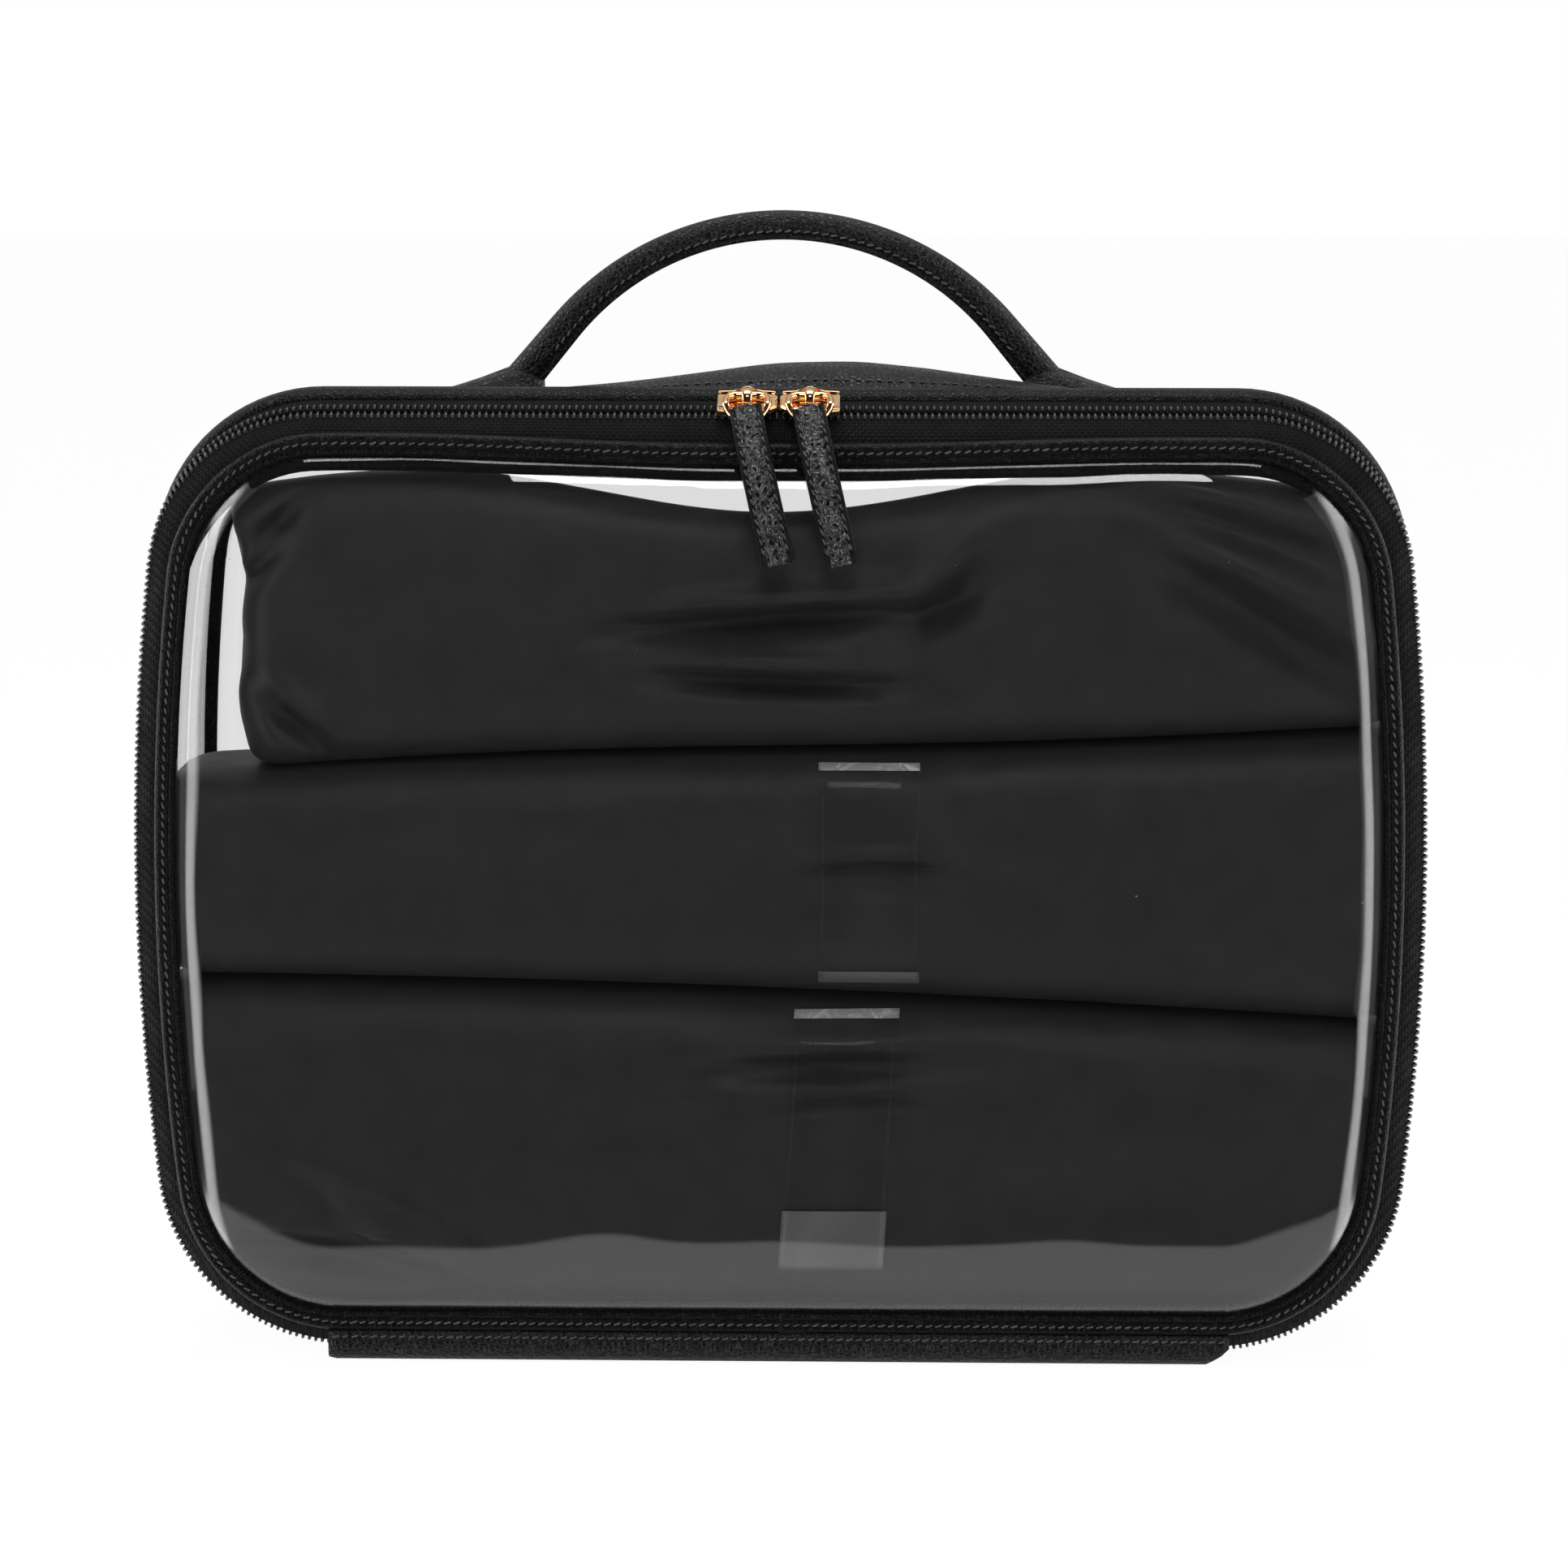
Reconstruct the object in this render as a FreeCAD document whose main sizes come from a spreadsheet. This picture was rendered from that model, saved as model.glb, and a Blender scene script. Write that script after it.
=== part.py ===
import FreeCAD, Part
import math
import os
import Sketcher

from types import SimpleNamespace

# A clear zip-round train case: a base with a see-through gusset, a front panel that folds down
# on a leather strip, a coil zip with two sliders, a rolled carry handle and three nylon rolls.
# X runs to the right, Y to the back and Z up. Depths are counted from the front seam.

doc = FreeCAD.newDocument("TrainCase")

# Driving dimensions in millimetres: name, value, what it is
DIMENSIONS = [
    ("front_y", -37.5, "front seam face, measured from the middle of the case"),
    ("seam_half", 127.0, "half width of the front frame"),
    ("seam_top", 190.7, "top edge of the front frame"),
    ("seam_bottom", 6.7, "bottom edge of the front frame"),
    ("top_radius", 30.0, "upper corner radius of the front frame"),
    ("bottom_radius", 34.0, "lower corner radius of the front frame"),
    ("side_bow", 560.0, "radius of the bowed sides"),
    ("film", 0.8, "clear vinyl gauge"),
    ("binding_width", 3.6, "face width of the leather binding"),
    ("binding_depth", 4.0, "depth of the leather binding"),
    ("binding_round", 0.8, "broken edges of the binding"),
    ("groove_inset", 0.9, "leather left outside the binding groove"),
    ("groove_y", 1.1, "depth at which the binding groove starts"),
    ("groove_width", 1.1, "width of the binding groove"),
    ("seat_gap", 0.1, "play of a sheet in its groove or seam"),
    ("crown", 4.5, "bulge of the front window"),
    ("crown_shoulder", 7.0, "inset at which the window starts to level off"),
    ("crown_flat", 22.0, "inset at which the window is level"),
    ("tape", 0.7, "zip tape gauge"),
    ("coil", 1.65, "height of the zip coil"),
    ("chain_y", 10.0, "depth of the middle of the zip chain"),
    ("chain_gap", 0.55, "half the gap between the two coils"),
    ("coil_width", 2.4, "width of one coil"),
    ("tape_side", 4.2, "how far the tape stands outside the frame beside the coil"),
    ("tape_step", 0.5, "extra stand-off of the tape at the chain"),
    ("chain_rise", 0.9, "rise of the zip over one coil width on the top run"),
    ("rear_seam_y", 19.5, "depth of the seam behind the zip"),
    ("rear_side", 3.9, "stand-off of the rear seam at the sides"),
    ("rear_rise", 8.6, "stand-off of the rear seam on top"),
    ("rear_strip", 3.9, "width of the leather strip on the rear seam"),
    ("strip_gauge", 1.0, "gauge of the leather strips"),
    ("back_y", 80.4, "depth of the back binding"),
    ("back_side", 2.8, "stand-off of the back binding at the sides"),
    ("back_drop", 2.4, "how far the back binding is lower than the front frame"),
    ("floor_gap", 1.3, "height of the gusset above the table"),
    ("hinge_half", 93.0, "half length of the leather hinge strip"),
    ("hinge_gauge", 1.2, "gauge of the hinge leather"),
    ("hinge_lap", 27.0, "depth to which the hinge strip laps the gusset"),
    ("flap_gap", 0.4, "room under the hinge flap"),
    ("handle_y", 48.0, "depth of the handle"),
    ("patch_half", 78.0, "half length of the handle patch"),
    ("patch_width", 46.0, "width of the handle patch"),
    ("patch_gauge", 1.6, "leather over the stiffener"),
    ("stiffener", 2.0, "thickness of the handle stiffener"),
    ("stiffener_half", 62.0, "half length of the stiffener"),
    ("stiffener_width", 34.0, "width of the stiffener"),
    ("handle_half", 53.0, "half span of the handle at its feet"),
    ("handle_foot", 4.1, "height of the handle feet over the patch"),
    ("handle_arch", 30.1, "rise of the handle"),
    ("handle_leg", 50.0, "slope of the straight handle legs in degrees"),
    ("grip_radius", 3.2, "radius of the rolled grip"),
    ("core_radius", 1.7, "radius of the bore in the grip"),
    ("anchor_length", 19.0, "length of a handle anchor"),
    ("anchor_width", 13.0, "width of a handle anchor at the handle"),
    ("anchor_tail", 9.0, "width of a handle anchor at its tail"),
    ("anchor_height", 5.4, "height of a handle anchor at the handle"),
    ("anchor_tip", 1.5, "height of a handle anchor at its tail"),
    ("slider_nose", 0.3, "distance of a slider from the middle"),
    ("slider_length", 12.0, "length of a slider"),
    ("slider_half", 4.3, "half width of a slider at its shoulders"),
    ("slider_plate", 1.0, "gauge of the slider plates"),
    ("slider_tilt", 20.0, "forward lean of the zip chain in degrees"),
    ("slider_top", 1.9, "height of the top plate over the chain"),
    ("slider_bottom", 1.1, "depth of the lower plate under the chain"),
    ("wedge_half", 0.28, "half width of the wedge between the coils"),
    ("bail_width", 2.2, "width of the slider bail"),
    ("bail_span", 5.2, "span of the slider bail"),
    ("bail_wire", 0.8, "gauge of the slider bail"),
    ("bail_window", 1.8, "height under the slider bail"),
    ("loop_half", 4.2, "half width of the pull loop at its wire centre"),
    ("loop_reach", 6.4, "reach of the pull loop"),
    ("loop_wire", 0.6, "radius of the loop wire"),
    ("tab_width", 6.3, "width of a pull tab"),
    ("tab_gauge", 1.9, "thickness of a pull tab"),
    ("tab_hem", 1.7, "radius of the hem round the loop"),
    ("tab_lean", 13.0, "sideways lean of the pull tabs in degrees"),
    ("tab_knee_y", 7.3, "how far forward a pull tab bends"),
    ("tab_knee_z", 9.5, "how far down a pull tab bends"),
    ("tab_end_y", 11.2, "how far forward a pull tab ends"),
    ("tab_end_z", 32.7, "how far down a pull tab ends"),
    ("roll_front", 0.6, "front face of the nylon rolls"),
    ("roll_depth", 45.0, "depth of the nylon rolls"),
    ("roll_half", 119.0, "half length of the nylon rolls"),
    ("roll_low", 13.0, "underside of the bottom roll"),
    ("roll_first", 76.5, "split between the bottom and middle rolls"),
    ("roll_second", 125.5, "split between the middle and top rolls"),
    ("roll_high", 183.0, "upper side of the top roll"),
    ("roll_split", 0.6, "gap between the rolls"),
    ("roll_short", 6.0, "how much shorter the top roll is at its left end"),
    ("roll_draw", 7.0, "how far a roll draws in at its ends"),
    ("roll_corner", 11.0, "rounding of the rolls"),
    ("roll_slant", 0.037, "slant of the splits between the rolls"),
    ("strip_left", 8.0, "left edge of the clear tape on the middle roll"),
    ("strip_width", 20.0, "width of the clear tape"),
    ("strip_film", 0.3, "gauge of the clear tape"),
]

sheet = doc.addObject("Spreadsheet::Sheet", "Sizes")
for row, (alias, number, note) in enumerate(DIMENSIONS, start=1):
    sheet.set(f"A{row}", note)
    sheet.set(f"B{row}", str(number))
    sheet.setAlias(f"B{row}", alias)
doc.recompute()


class Size:
    # A length with its value for drawing and its text for binding to the sheet

    def __init__(self, value, text):
        self.value = value
        self.text = text

    def join(self, sign, value, other):
        return Size(value, f"({self.text} {sign} {other.text})")

    def __add__(self, other):
        other = as_size(other)
        return self.join("+", self.value + other.value, other)

    def __sub__(self, other):
        other = as_size(other)
        return self.join("-", self.value - other.value, other)

    def __mul__(self, other):
        other = as_size(other)
        return self.join("*", self.value * other.value, other)

    def __truediv__(self, other):
        other = as_size(other)
        return self.join("/", self.value / other.value, other)

    def __neg__(self):
        return self * -1


def as_size(number):
    return number if isinstance(number, Size) else Size(float(number), f"({float(number)})")


s = SimpleNamespace(**{alias: Size(number, "Sizes." + alias) for alias, number, _ in DIMENSIONS})
flush = Size(0.0, "0")
pieces = []
GRIP_SIDES = 10
CORE_SIDES = 6


def new_body(label):
    body = doc.addObject("PartDesign::Body", label)
    body.Label = label
    pieces.append(body)
    return body


def sketch_on(body, name, role, level):
    sketch = body.newObject("Sketcher::SketchObject", f"{body.Name}_{name}")
    plane = next(item for item in body.Origin.OriginFeatures if item.Role == role)
    sketch.AttachmentSupport = [(plane, "")]
    sketch.MapMode = "FlatFace"
    sketch.AttachmentOffset = FreeCAD.Placement(FreeCAD.Vector(0, 0, level.value), FreeCAD.Rotation())
    sketch.setExpression("AttachmentOffset.Base.z", level.text)
    return sketch


def upright(body, name, depth):
    # A sketch facing the front, at a depth behind the front seam; its normal points forward
    return sketch_on(body, name, "XZ_Plane", -(s.front_y + depth))


def bind(sketch, kind, *places, size):
    index = sketch.addConstraint(Sketcher.Constraint(kind, *places, size.value))
    sketch.setExpression(f"Constraints[{index}]", size.text)


def add_loop(sketch, points):
    # A closed polygon whose every corner is placed by the sheet
    corners = [FreeCAD.Vector(x.value, z.value, 0) for x, z in points]
    lines = [Part.LineSegment(a, b) for a, b in zip(corners, corners[1:] + corners[:1])]
    ids = sketch.addGeometry(lines, False)
    for here, after in zip(ids, ids[1:] + ids[:1]):
        sketch.addConstraint(Sketcher.Constraint("Coincident", here, 2, after, 1))
    for line, (x, z) in zip(ids, points):
        bind(sketch, "DistanceX", -1, 1, line, 1, size=x)
        bind(sketch, "DistanceY", -1, 1, line, 1, size=z)


def rectangle(x0, x1, z0, z1):
    return [(x0, z0), (x1, z0), (x1, z1), (x0, z1)]


def add_circle(sketch, x, z, radius):
    circle = Part.Circle(FreeCAD.Vector(x.value, z.value, 0), FreeCAD.Vector(0, 0, 1), radius.value)
    index = sketch.addGeometry(circle, False)
    bind(sketch, "DistanceX", -1, 1, index, 3, size=x)
    bind(sketch, "DistanceY", -1, 1, index, 3, size=z)
    bind(sketch, "Radius", index, size=radius)


def many_sided(x, z, radius, sides):
    # A round section drawn with flats, as rolled leather lies
    turns = [math.tau * (n + 0.5) / sides for n in range(sides)]
    return [(x + radius * math.cos(a), z + radius * math.sin(a)) for a in turns]


def bundle(x0, x1, z0, z1, corner, flats=2):
    # A soft rectangle whose corners are each rounded off in a few flats
    angles = [math.pi / 2 * n / flats for n in range(flats + 1)]
    turn = [(corner * (1 - math.sin(a)), corner * (1 - math.cos(a))) for a in angles]
    low_left = [(x0 + u, z0 + v) for u, v in turn[::-1]]
    low_right = [(x1 - u, z0 + v) for u, v in turn]
    high_right = [(x1 - u, z1 - v) for u, v in turn[::-1]]
    high_left = [(x0 + u, z1 - v) for u, v in turn]
    return low_left + low_right + high_right + high_left


def add_rounded(sketch, x0, x1, z0, z1, radius):
    # A rectangle with four equal tangent corners
    r = radius.value
    left, right, low, high = x0.value + r, x1.value - r, z0.value + r, z1.value - r
    quarter = math.pi / 2
    shapes = []
    stations = [(right, low, 3), (right, high, 0), (left, high, 1), (left, low, 2)]
    for turn, (x, z, start) in enumerate(stations):
        circle = Part.Circle(FreeCAD.Vector(x, z, 0), FreeCAD.Vector(0, 0, 1), r)
        arc = Part.ArcOfCircle(circle, start * quarter, (start + 1) * quarter)
        after = stations[(turn + 1) % len(stations)]
        leave = FreeCAD.Vector(x, z, 0) + FreeCAD.Vector(
            r * math.cos((start + 1) * quarter), r * math.sin((start + 1) * quarter), 0)
        enter = FreeCAD.Vector(after[0], after[1], 0) + FreeCAD.Vector(
            r * math.cos(after[2] * quarter), r * math.sin(after[2] * quarter), 0)
        shapes += [arc, Part.LineSegment(leave, enter)]
    ids = sketch.addGeometry(shapes, False)
    for here, after in zip(ids, ids[1:] + ids[:1]):
        sketch.addConstraint(Sketcher.Constraint("Tangent", here, 2, after, 1))
    arcs, lines = ids[0::2], ids[1::2]
    for arc in arcs[1:]:
        sketch.addConstraint(Sketcher.Constraint("Equal", arcs[0], arc))
    for line, kind in zip(lines[:2], ("Vertical", "Horizontal")):
        sketch.addConstraint(Sketcher.Constraint(kind, line))
    bind(sketch, "Radius", arcs[0], size=radius)
    bind(sketch, "DistanceX", -1, 1, lines[0], 1, size=x1)
    bind(sketch, "DistanceX", -1, 1, lines[2], 1, size=x0)
    bind(sketch, "DistanceY", -1, 1, lines[1], 1, size=z1)
    bind(sketch, "DistanceY", -1, 1, lines[3], 1, size=z0)


def frame_shape(side, top=None, bottom=None):
    # Half width, top, bottom and corner radii of the frame outline moved outwards
    top = side if top is None else top
    return SimpleNamespace(
        half=s.seam_half + side,
        top=s.seam_top + top,
        bottom=s.seam_bottom - side if bottom is None else bottom,
        top_radius=s.top_radius + side,
        bottom_radius=s.bottom_radius + side,
        bow=s.side_bow + side,
        middle=(s.seam_top + s.seam_bottom) / 2,
    )


def inset(shape, gauge):
    return SimpleNamespace(
        half=shape.half - gauge,
        top=shape.top - gauge,
        bottom=shape.bottom + gauge,
        top_radius=shape.top_radius - gauge,
        bottom_radius=shape.bottom_radius - gauge,
        bow=shape.bow - gauge,
        middle=shape.middle,
    )


def add_outline(sketch, shape):
    # Straight top and bottom, bowed sides and four corners, all tangent
    bow_x = shape.half.value - shape.bow.value
    bow_z = shape.middle.value

    def corner(radius, height):
        reach = shape.bow.value - radius
        return bow_x + math.sqrt(reach ** 2 - (height - bow_z) ** 2)

    r_top = shape.top_radius.value
    r_low = shape.bottom_radius.value
    z_top = shape.top.value - r_top
    z_low = shape.bottom.value + r_low
    x_top = corner(r_top, z_top)
    x_low = corner(r_low, z_low)
    a_top = math.atan2(z_top - bow_z, x_top - bow_x)
    a_low = math.atan2(z_low - bow_z, x_low - bow_x)

    def arc(x, z, radius, start, end):
        circle = Part.Circle(FreeCAD.Vector(x, z, 0), FreeCAD.Vector(0, 0, 1), radius)
        return Part.ArcOfCircle(circle, start, end)

    def line(x0, x1, z):
        return Part.LineSegment(FreeCAD.Vector(x0, z, 0), FreeCAD.Vector(x1, z, 0))

    half_turn = math.pi
    shapes = [
        line(-x_low, x_low, shape.bottom.value),
        arc(x_low, z_low, r_low, -half_turn / 2, a_low),
        arc(bow_x, bow_z, shape.bow.value, a_low, a_top),
        arc(x_top, z_top, r_top, a_top, half_turn / 2),
        line(x_top, -x_top, shape.top.value),
        arc(-x_top, z_top, r_top, half_turn / 2, half_turn - a_top),
        arc(-bow_x, bow_z, shape.bow.value, half_turn - a_top, half_turn - a_low),
        arc(-x_low, z_low, r_low, half_turn - a_low, half_turn * 1.5),
    ]
    ids = sketch.addGeometry(shapes, False)
    low, low_right, right, top_right, top, top_left, left, low_left = ids
    for here, after in zip(ids, ids[1:] + ids[:1]):
        sketch.addConstraint(Sketcher.Constraint("Tangent", here, 2, after, 1))
    for run in (low, top):
        sketch.addConstraint(Sketcher.Constraint("Symmetric", run, 1, run, 2, -2))
    for one, other in ((top_right, top_left), (low_right, low_left), (right, left)):
        sketch.addConstraint(Sketcher.Constraint("Equal", one, other))
    bind(sketch, "Radius", top_right, size=shape.top_radius)
    bind(sketch, "Radius", low_right, size=shape.bottom_radius)
    bind(sketch, "Radius", right, size=shape.bow)
    bind(sketch, "DistanceY", -1, 1, top, 1, size=shape.top)
    bind(sketch, "DistanceY", -1, 1, low, 1, size=shape.bottom)
    bind(sketch, "DistanceX", -1, 1, right, 3, size=shape.half - shape.bow)
    bind(sketch, "DistanceY", -1, 1, right, 3, size=shape.middle)


def outline(body, name, depth, shape):
    sketch = upright(body, name, depth)
    add_outline(sketch, shape)
    return sketch


def feature(body, kind, name, profile):
    item = body.newObject(f"PartDesign::{kind}", f"{body.Name}_{name}")
    item.Profile = profile
    return item


def pad(body, name, sketch, length, reverse=False):
    item = feature(body, "Pad", name, sketch)
    item.setExpression("Length", length.text)
    item.Reversed = reverse
    doc.recompute()
    return item


def pocket(body, name, sketch, length, reverse=False):
    before = body.Shape.Volume
    item = feature(body, "Pocket", name, sketch)
    item.setExpression("Length", length.text)
    item.Reversed = reverse
    doc.recompute()
    if body.Shape.Volume > before - 1e-3:
        raise ValueError(f"{body.Label}: {name} cuts nothing")
    return item


def loft(body, kind, name, sketches):
    item = feature(body, kind, name, sketches[0])
    item.Sections = sketches[1:]
    item.Ruled = True
    doc.recompute()
    return item


def band(body, stations, gauge):
    # A closed band round the case: each station is a depth and the outline of its outer face
    for number, ((y0, outer0), (y1, outer1)) in enumerate(zip(stations, stations[1:]), start=1):
        outer = [outline(body, f"outer{number}a", y0, outer0), outline(body, f"outer{number}b", y1, outer1)]
        loft(body, "AdditiveLoft", f"wall{number}", outer)
    for number, ((y0, outer0), (y1, outer1)) in enumerate(zip(stations, stations[1:]), start=1):
        inner = [
            outline(body, f"inner{number}a", y0, inset(outer0, gauge)),
            outline(body, f"inner{number}b", y1, inset(outer1, gauge)),
        ]
        loft(body, "SubtractiveLoft", f"hollow{number}", inner)


def open_hinge(body, depth):
    # The zip stops at the ends of the hinge strip, so the bottom run is cut away there
    sketch = upright(body, "hinge_cut", flush)
    half = s.hinge_half + s.seat_gap
    add_loop(sketch, rectangle(-half, half, s.seam_bottom - s.bottom_radius, s.seam_bottom + s.binding_width))
    pocket(body, "hinge_gap", sketch, depth)


def break_edges(body, name, size, wanted):
    tip = body.Tip
    names = [f"Edge{n}" for n, edge in enumerate(tip.Shape.Edges, start=1) if wanted(edge)]
    item = body.newObject("PartDesign::Chamfer", f"{body.Name}_{name}")
    item.Base = (tip, names)
    item.setExpression("Size", size.text)
    doc.recompute()
    return item


def at_depth(depth):
    level = (s.front_y + depth).value

    def wanted(edge):
        box = edge.BoundBox
        return abs(box.YMin - level) < 1e-4 and abs(box.YMax - level) < 1e-4

    return wanted


def at_height(height):
    def wanted(edge):
        box = edge.BoundBox
        return abs(box.ZMin - height.value) < 1e-4 and abs(box.ZMax - height.value) < 1e-4

    return wanted


# Front frame, window and lid half of the zip

def make_binding(label, depth, shape):
    # A leather strip folded round the raw edges, with the groove that holds the sheet
    body = new_body(label)
    pad(body, "ring", outline(body, "rim", depth, shape), s.binding_depth, reverse=True)
    inner = inset(shape, s.binding_width)
    pocket(body, "mouth", outline(body, "bore", depth, inner), s.binding_depth)
    rear = depth + s.binding_depth
    for name, level in (("front_roll", depth), ("rear_roll", rear)):
        break_edges(body, name, s.binding_round, at_depth(level))
    groove = outline(body, "slot", depth + s.groove_y, inset(shape, s.groove_inset))
    pocket(body, "groove", groove, s.groove_width)
    return body


front_shape = frame_shape(flush)
make_binding("front_binding", flush, front_shape)


# Share of the crown's bulge at its shoulder, half way in and where it levels off
CROWN_RISE = [0.4, 0.85, 1]


def make_front_window():
    body = new_body("front_window")
    edge = s.groove_inset + s.seat_gap
    seat = s.groove_y + s.seat_gap
    rear = seat + s.film
    pad(body, "rim", outline(body, "edge", seat, inset(front_shape, edge)), s.film, reverse=True)
    lip = s.binding_width + s.seat_gap * 4
    middle = (s.crown_shoulder + s.crown_flat) / 2
    dome = [(lip, seat)] + [
        (reach, s.crown * -rise) for reach, rise in zip((s.crown_shoulder, middle, s.crown_flat), CROWN_RISE)]
    outer = [outline(body, f"dome{n}", y, inset(front_shape, d)) for n, (d, y) in enumerate(dome)]
    loft(body, "AdditiveLoft", "crown", outer)
    hollow = [(lip + s.film, rear)] + [(d + s.film * 0.5, y + s.film) for d, y in dome[1:]]
    inner = [outline(body, f"hollow{n}", y, inset(front_shape, d)) for n, (d, y) in enumerate(hollow)]
    loft(body, "SubtractiveLoft", "inside", inner)


make_front_window()

chain_front = s.chain_y - s.chain_gap
coil_front = chain_front - s.coil_width
chain_rear = s.chain_y + s.chain_gap
coil_rear = chain_rear + s.coil_width
chain_side = s.tape_side + s.tape_step
gap_rise = s.chain_rise * s.chain_gap * 2 / s.coil_width
front_tape = [
    (s.binding_depth + s.seat_gap, frame_shape(s.seat_gap - s.binding_width / 3)),
    (coil_front, frame_shape(s.tape_side)),
    (chain_front, frame_shape(chain_side, s.tape_side + s.chain_rise)),
]
rear_tape = [
    (chain_rear, frame_shape(chain_side, s.tape_side + s.chain_rise + gap_rise)),
    (coil_rear, frame_shape(s.tape_side, s.tape_side + s.chain_rise * 2 + gap_rise)),
    (s.rear_seam_y - s.seat_gap, frame_shape(s.rear_side, s.rear_rise)),
]


def grown(shape, gauge):
    return inset(shape, -gauge)


def make_zip_half(tape_label, coil_label, tape, run, depth):
    body = new_body(tape_label)
    band(body, tape, s.tape)
    open_hinge(body, depth)
    body = new_body(coil_label)
    lift = s.coil + s.seat_gap * 0.5
    band(body, [(y, grown(shape, lift)) for y, shape in tape[run]], s.coil)
    open_hinge(body, depth)


make_zip_half("front_zip_tape", "front_zip_coil", front_tape, slice(1, 3), s.rear_seam_y)
make_zip_half("rear_zip_tape", "rear_zip_coil", rear_tape, slice(0, 2), s.rear_seam_y)


def between(a, b, share):
    return a + (b - a) * share


def make_rear_strip():
    # A leather strip sewn over the seam between the rear tape and the gusset
    body = new_body("rear_zip_binding")
    (y0, _), (y1, seam) = rear_tape[1:]
    start = s.rear_seam_y - s.rear_strip
    share = (start - y0) / (y1 - y0)
    coil_top = s.tape_side + s.chain_rise * 2 + gap_rise
    fold = frame_shape(between(s.tape_side, s.rear_side, share), between(coil_top, s.rear_rise, share))
    lift = s.strip_gauge + s.seat_gap * 0.5
    band(body, [(start, grown(fold, lift)), (y1, grown(seam, lift))], s.strip_gauge)
    open_hinge(body, s.rear_seam_y)


make_rear_strip()

# Base: gusset, back panel and hinge

gusset_side = s.back_side - s.film
gusset_drop = s.back_drop + s.film
back_shape = frame_shape(s.back_side, -s.back_drop, bottom=flush)
make_binding("back_binding", s.back_y, back_shape)

gusset = new_body("side_gusset")
gusset_stations = [
    (s.rear_seam_y, frame_shape(s.rear_side, s.rear_rise, bottom=s.floor_gap)),
    (s.back_y - s.seat_gap, frame_shape(gusset_side, -gusset_drop, bottom=s.floor_gap)),
]
band(gusset, gusset_stations, s.film)

back_panel = new_body("back_panel")
back_seat = s.back_y + s.groove_y + s.seat_gap
back_sheet = outline(back_panel, "sheet", back_seat, inset(back_shape, s.groove_inset + s.seat_gap))
pad(back_panel, "film", back_sheet, s.film, reverse=True)


def long_strip(label, y0, y1, z0, z1):
    # A leather strip along the fold, with rolled edges
    body = new_body(label)
    sketch = sketch_on(body, "section", "YZ_Plane", -s.hinge_half)
    add_rounded(sketch, s.front_y + y0, s.front_y + y1, z0, z1, s.hinge_gauge * 0.45)
    pad(body, "run", sketch, s.hinge_half * 2)


long_strip("hinge_strip", flush, s.hinge_lap, flush, s.hinge_gauge)
flap_low = s.hinge_gauge + s.flap_gap
long_strip("hinge_flap", s.hinge_gauge * 0.5, s.hinge_gauge * 1.5, flap_low, s.seam_bottom - s.seat_gap * 0.5)

# Handle on the sloping top

top_run = s.back_y - s.seat_gap - s.rear_seam_y
top_fall = s.rear_rise + gusset_drop
handle_share = (s.handle_y - s.rear_seam_y) / top_run
top_height = s.seam_top + s.rear_rise - top_fall * handle_share
slope = math.atan(top_fall.value / top_run.value)
slope_text = f"atan({top_fall.text} / {top_run.text})"
patch_top = s.seat_gap + s.stiffener + s.patch_gauge


def place(body, x, y, z, axis, angle, angle_text):
    body.Placement = FreeCAD.Placement(
        FreeCAD.Vector(x.value, y.value, z.value), FreeCAD.Rotation(axis, math.degrees(angle)))
    for name, size in (("x", x), ("y", y), ("z", z)):
        body.setExpression(f"Placement.Base.{name}", size.text)
    if angle:
        body.setExpression("Placement.Rotation.Angle", angle_text)


def place_on_top(body):
    place(body, flush, s.front_y + s.handle_y, top_height, FreeCAD.Vector(-1, 0, 0), slope, slope_text)


def plate(body, name, half, width, level, height, corner):
    sketch = sketch_on(body, name, "XY_Plane", level)
    add_rounded(sketch, -half, half, -width / 2, width / 2, corner)
    return pad(body, f"{name}_plate", sketch, height)


def make_patch():
    body = new_body("handle_patch")
    corner = s.patch_width / 6
    plate(body, "leather", s.patch_half, s.patch_width, s.seat_gap, s.stiffener + s.patch_gauge, corner)
    break_edges(body, "crown", s.patch_gauge, at_height(patch_top))
    sketch = sketch_on(body, "bed", "XY_Plane", s.seat_gap)
    half = s.stiffener_half + s.seat_gap
    width = s.stiffener_width / 2 + s.seat_gap
    add_loop(sketch, rectangle(-half, half, -width, width))
    pocket(body, "recess", sketch, s.stiffener, reverse=True)
    place_on_top(body)
    board = new_body("handle_stiffener")
    thickness = s.stiffener - s.seat_gap
    plate(board, "board", s.stiffener_half, s.stiffener_width, s.seat_gap, thickness, s.stiffener_width / 10)
    place_on_top(board)


def make_anchor(label, side):
    # The flat end of the handle leather, folded up towards the handle foot
    body = new_body(label)
    inner = s.handle_half + s.grip_radius + s.seat_gap * 5
    floor = patch_top + s.seat_gap / 2
    fold = (s.anchor_height + s.anchor_tip) / 2
    stations = [
        (inner, s.anchor_width, s.anchor_height),
        (inner + s.anchor_length / 3, s.anchor_width, fold),
        (inner + s.anchor_length, s.anchor_tail, s.anchor_tip),
    ]
    sketches = []
    for number, (x, width, height) in enumerate(stations):
        sketch = sketch_on(body, f"fold{number}", "YZ_Plane", x * side)
        add_loop(sketch, bundle(-width / 2, width / 2, floor, floor + height, s.anchor_tip / 3, flats=1))
        sketches.append(sketch)
    loft(body, "AdditiveLoft", "tab", sketches)
    place_on_top(body)


make_patch()
make_anchor("handle_anchor_left", -1)
make_anchor("handle_anchor_right", 1)

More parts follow.
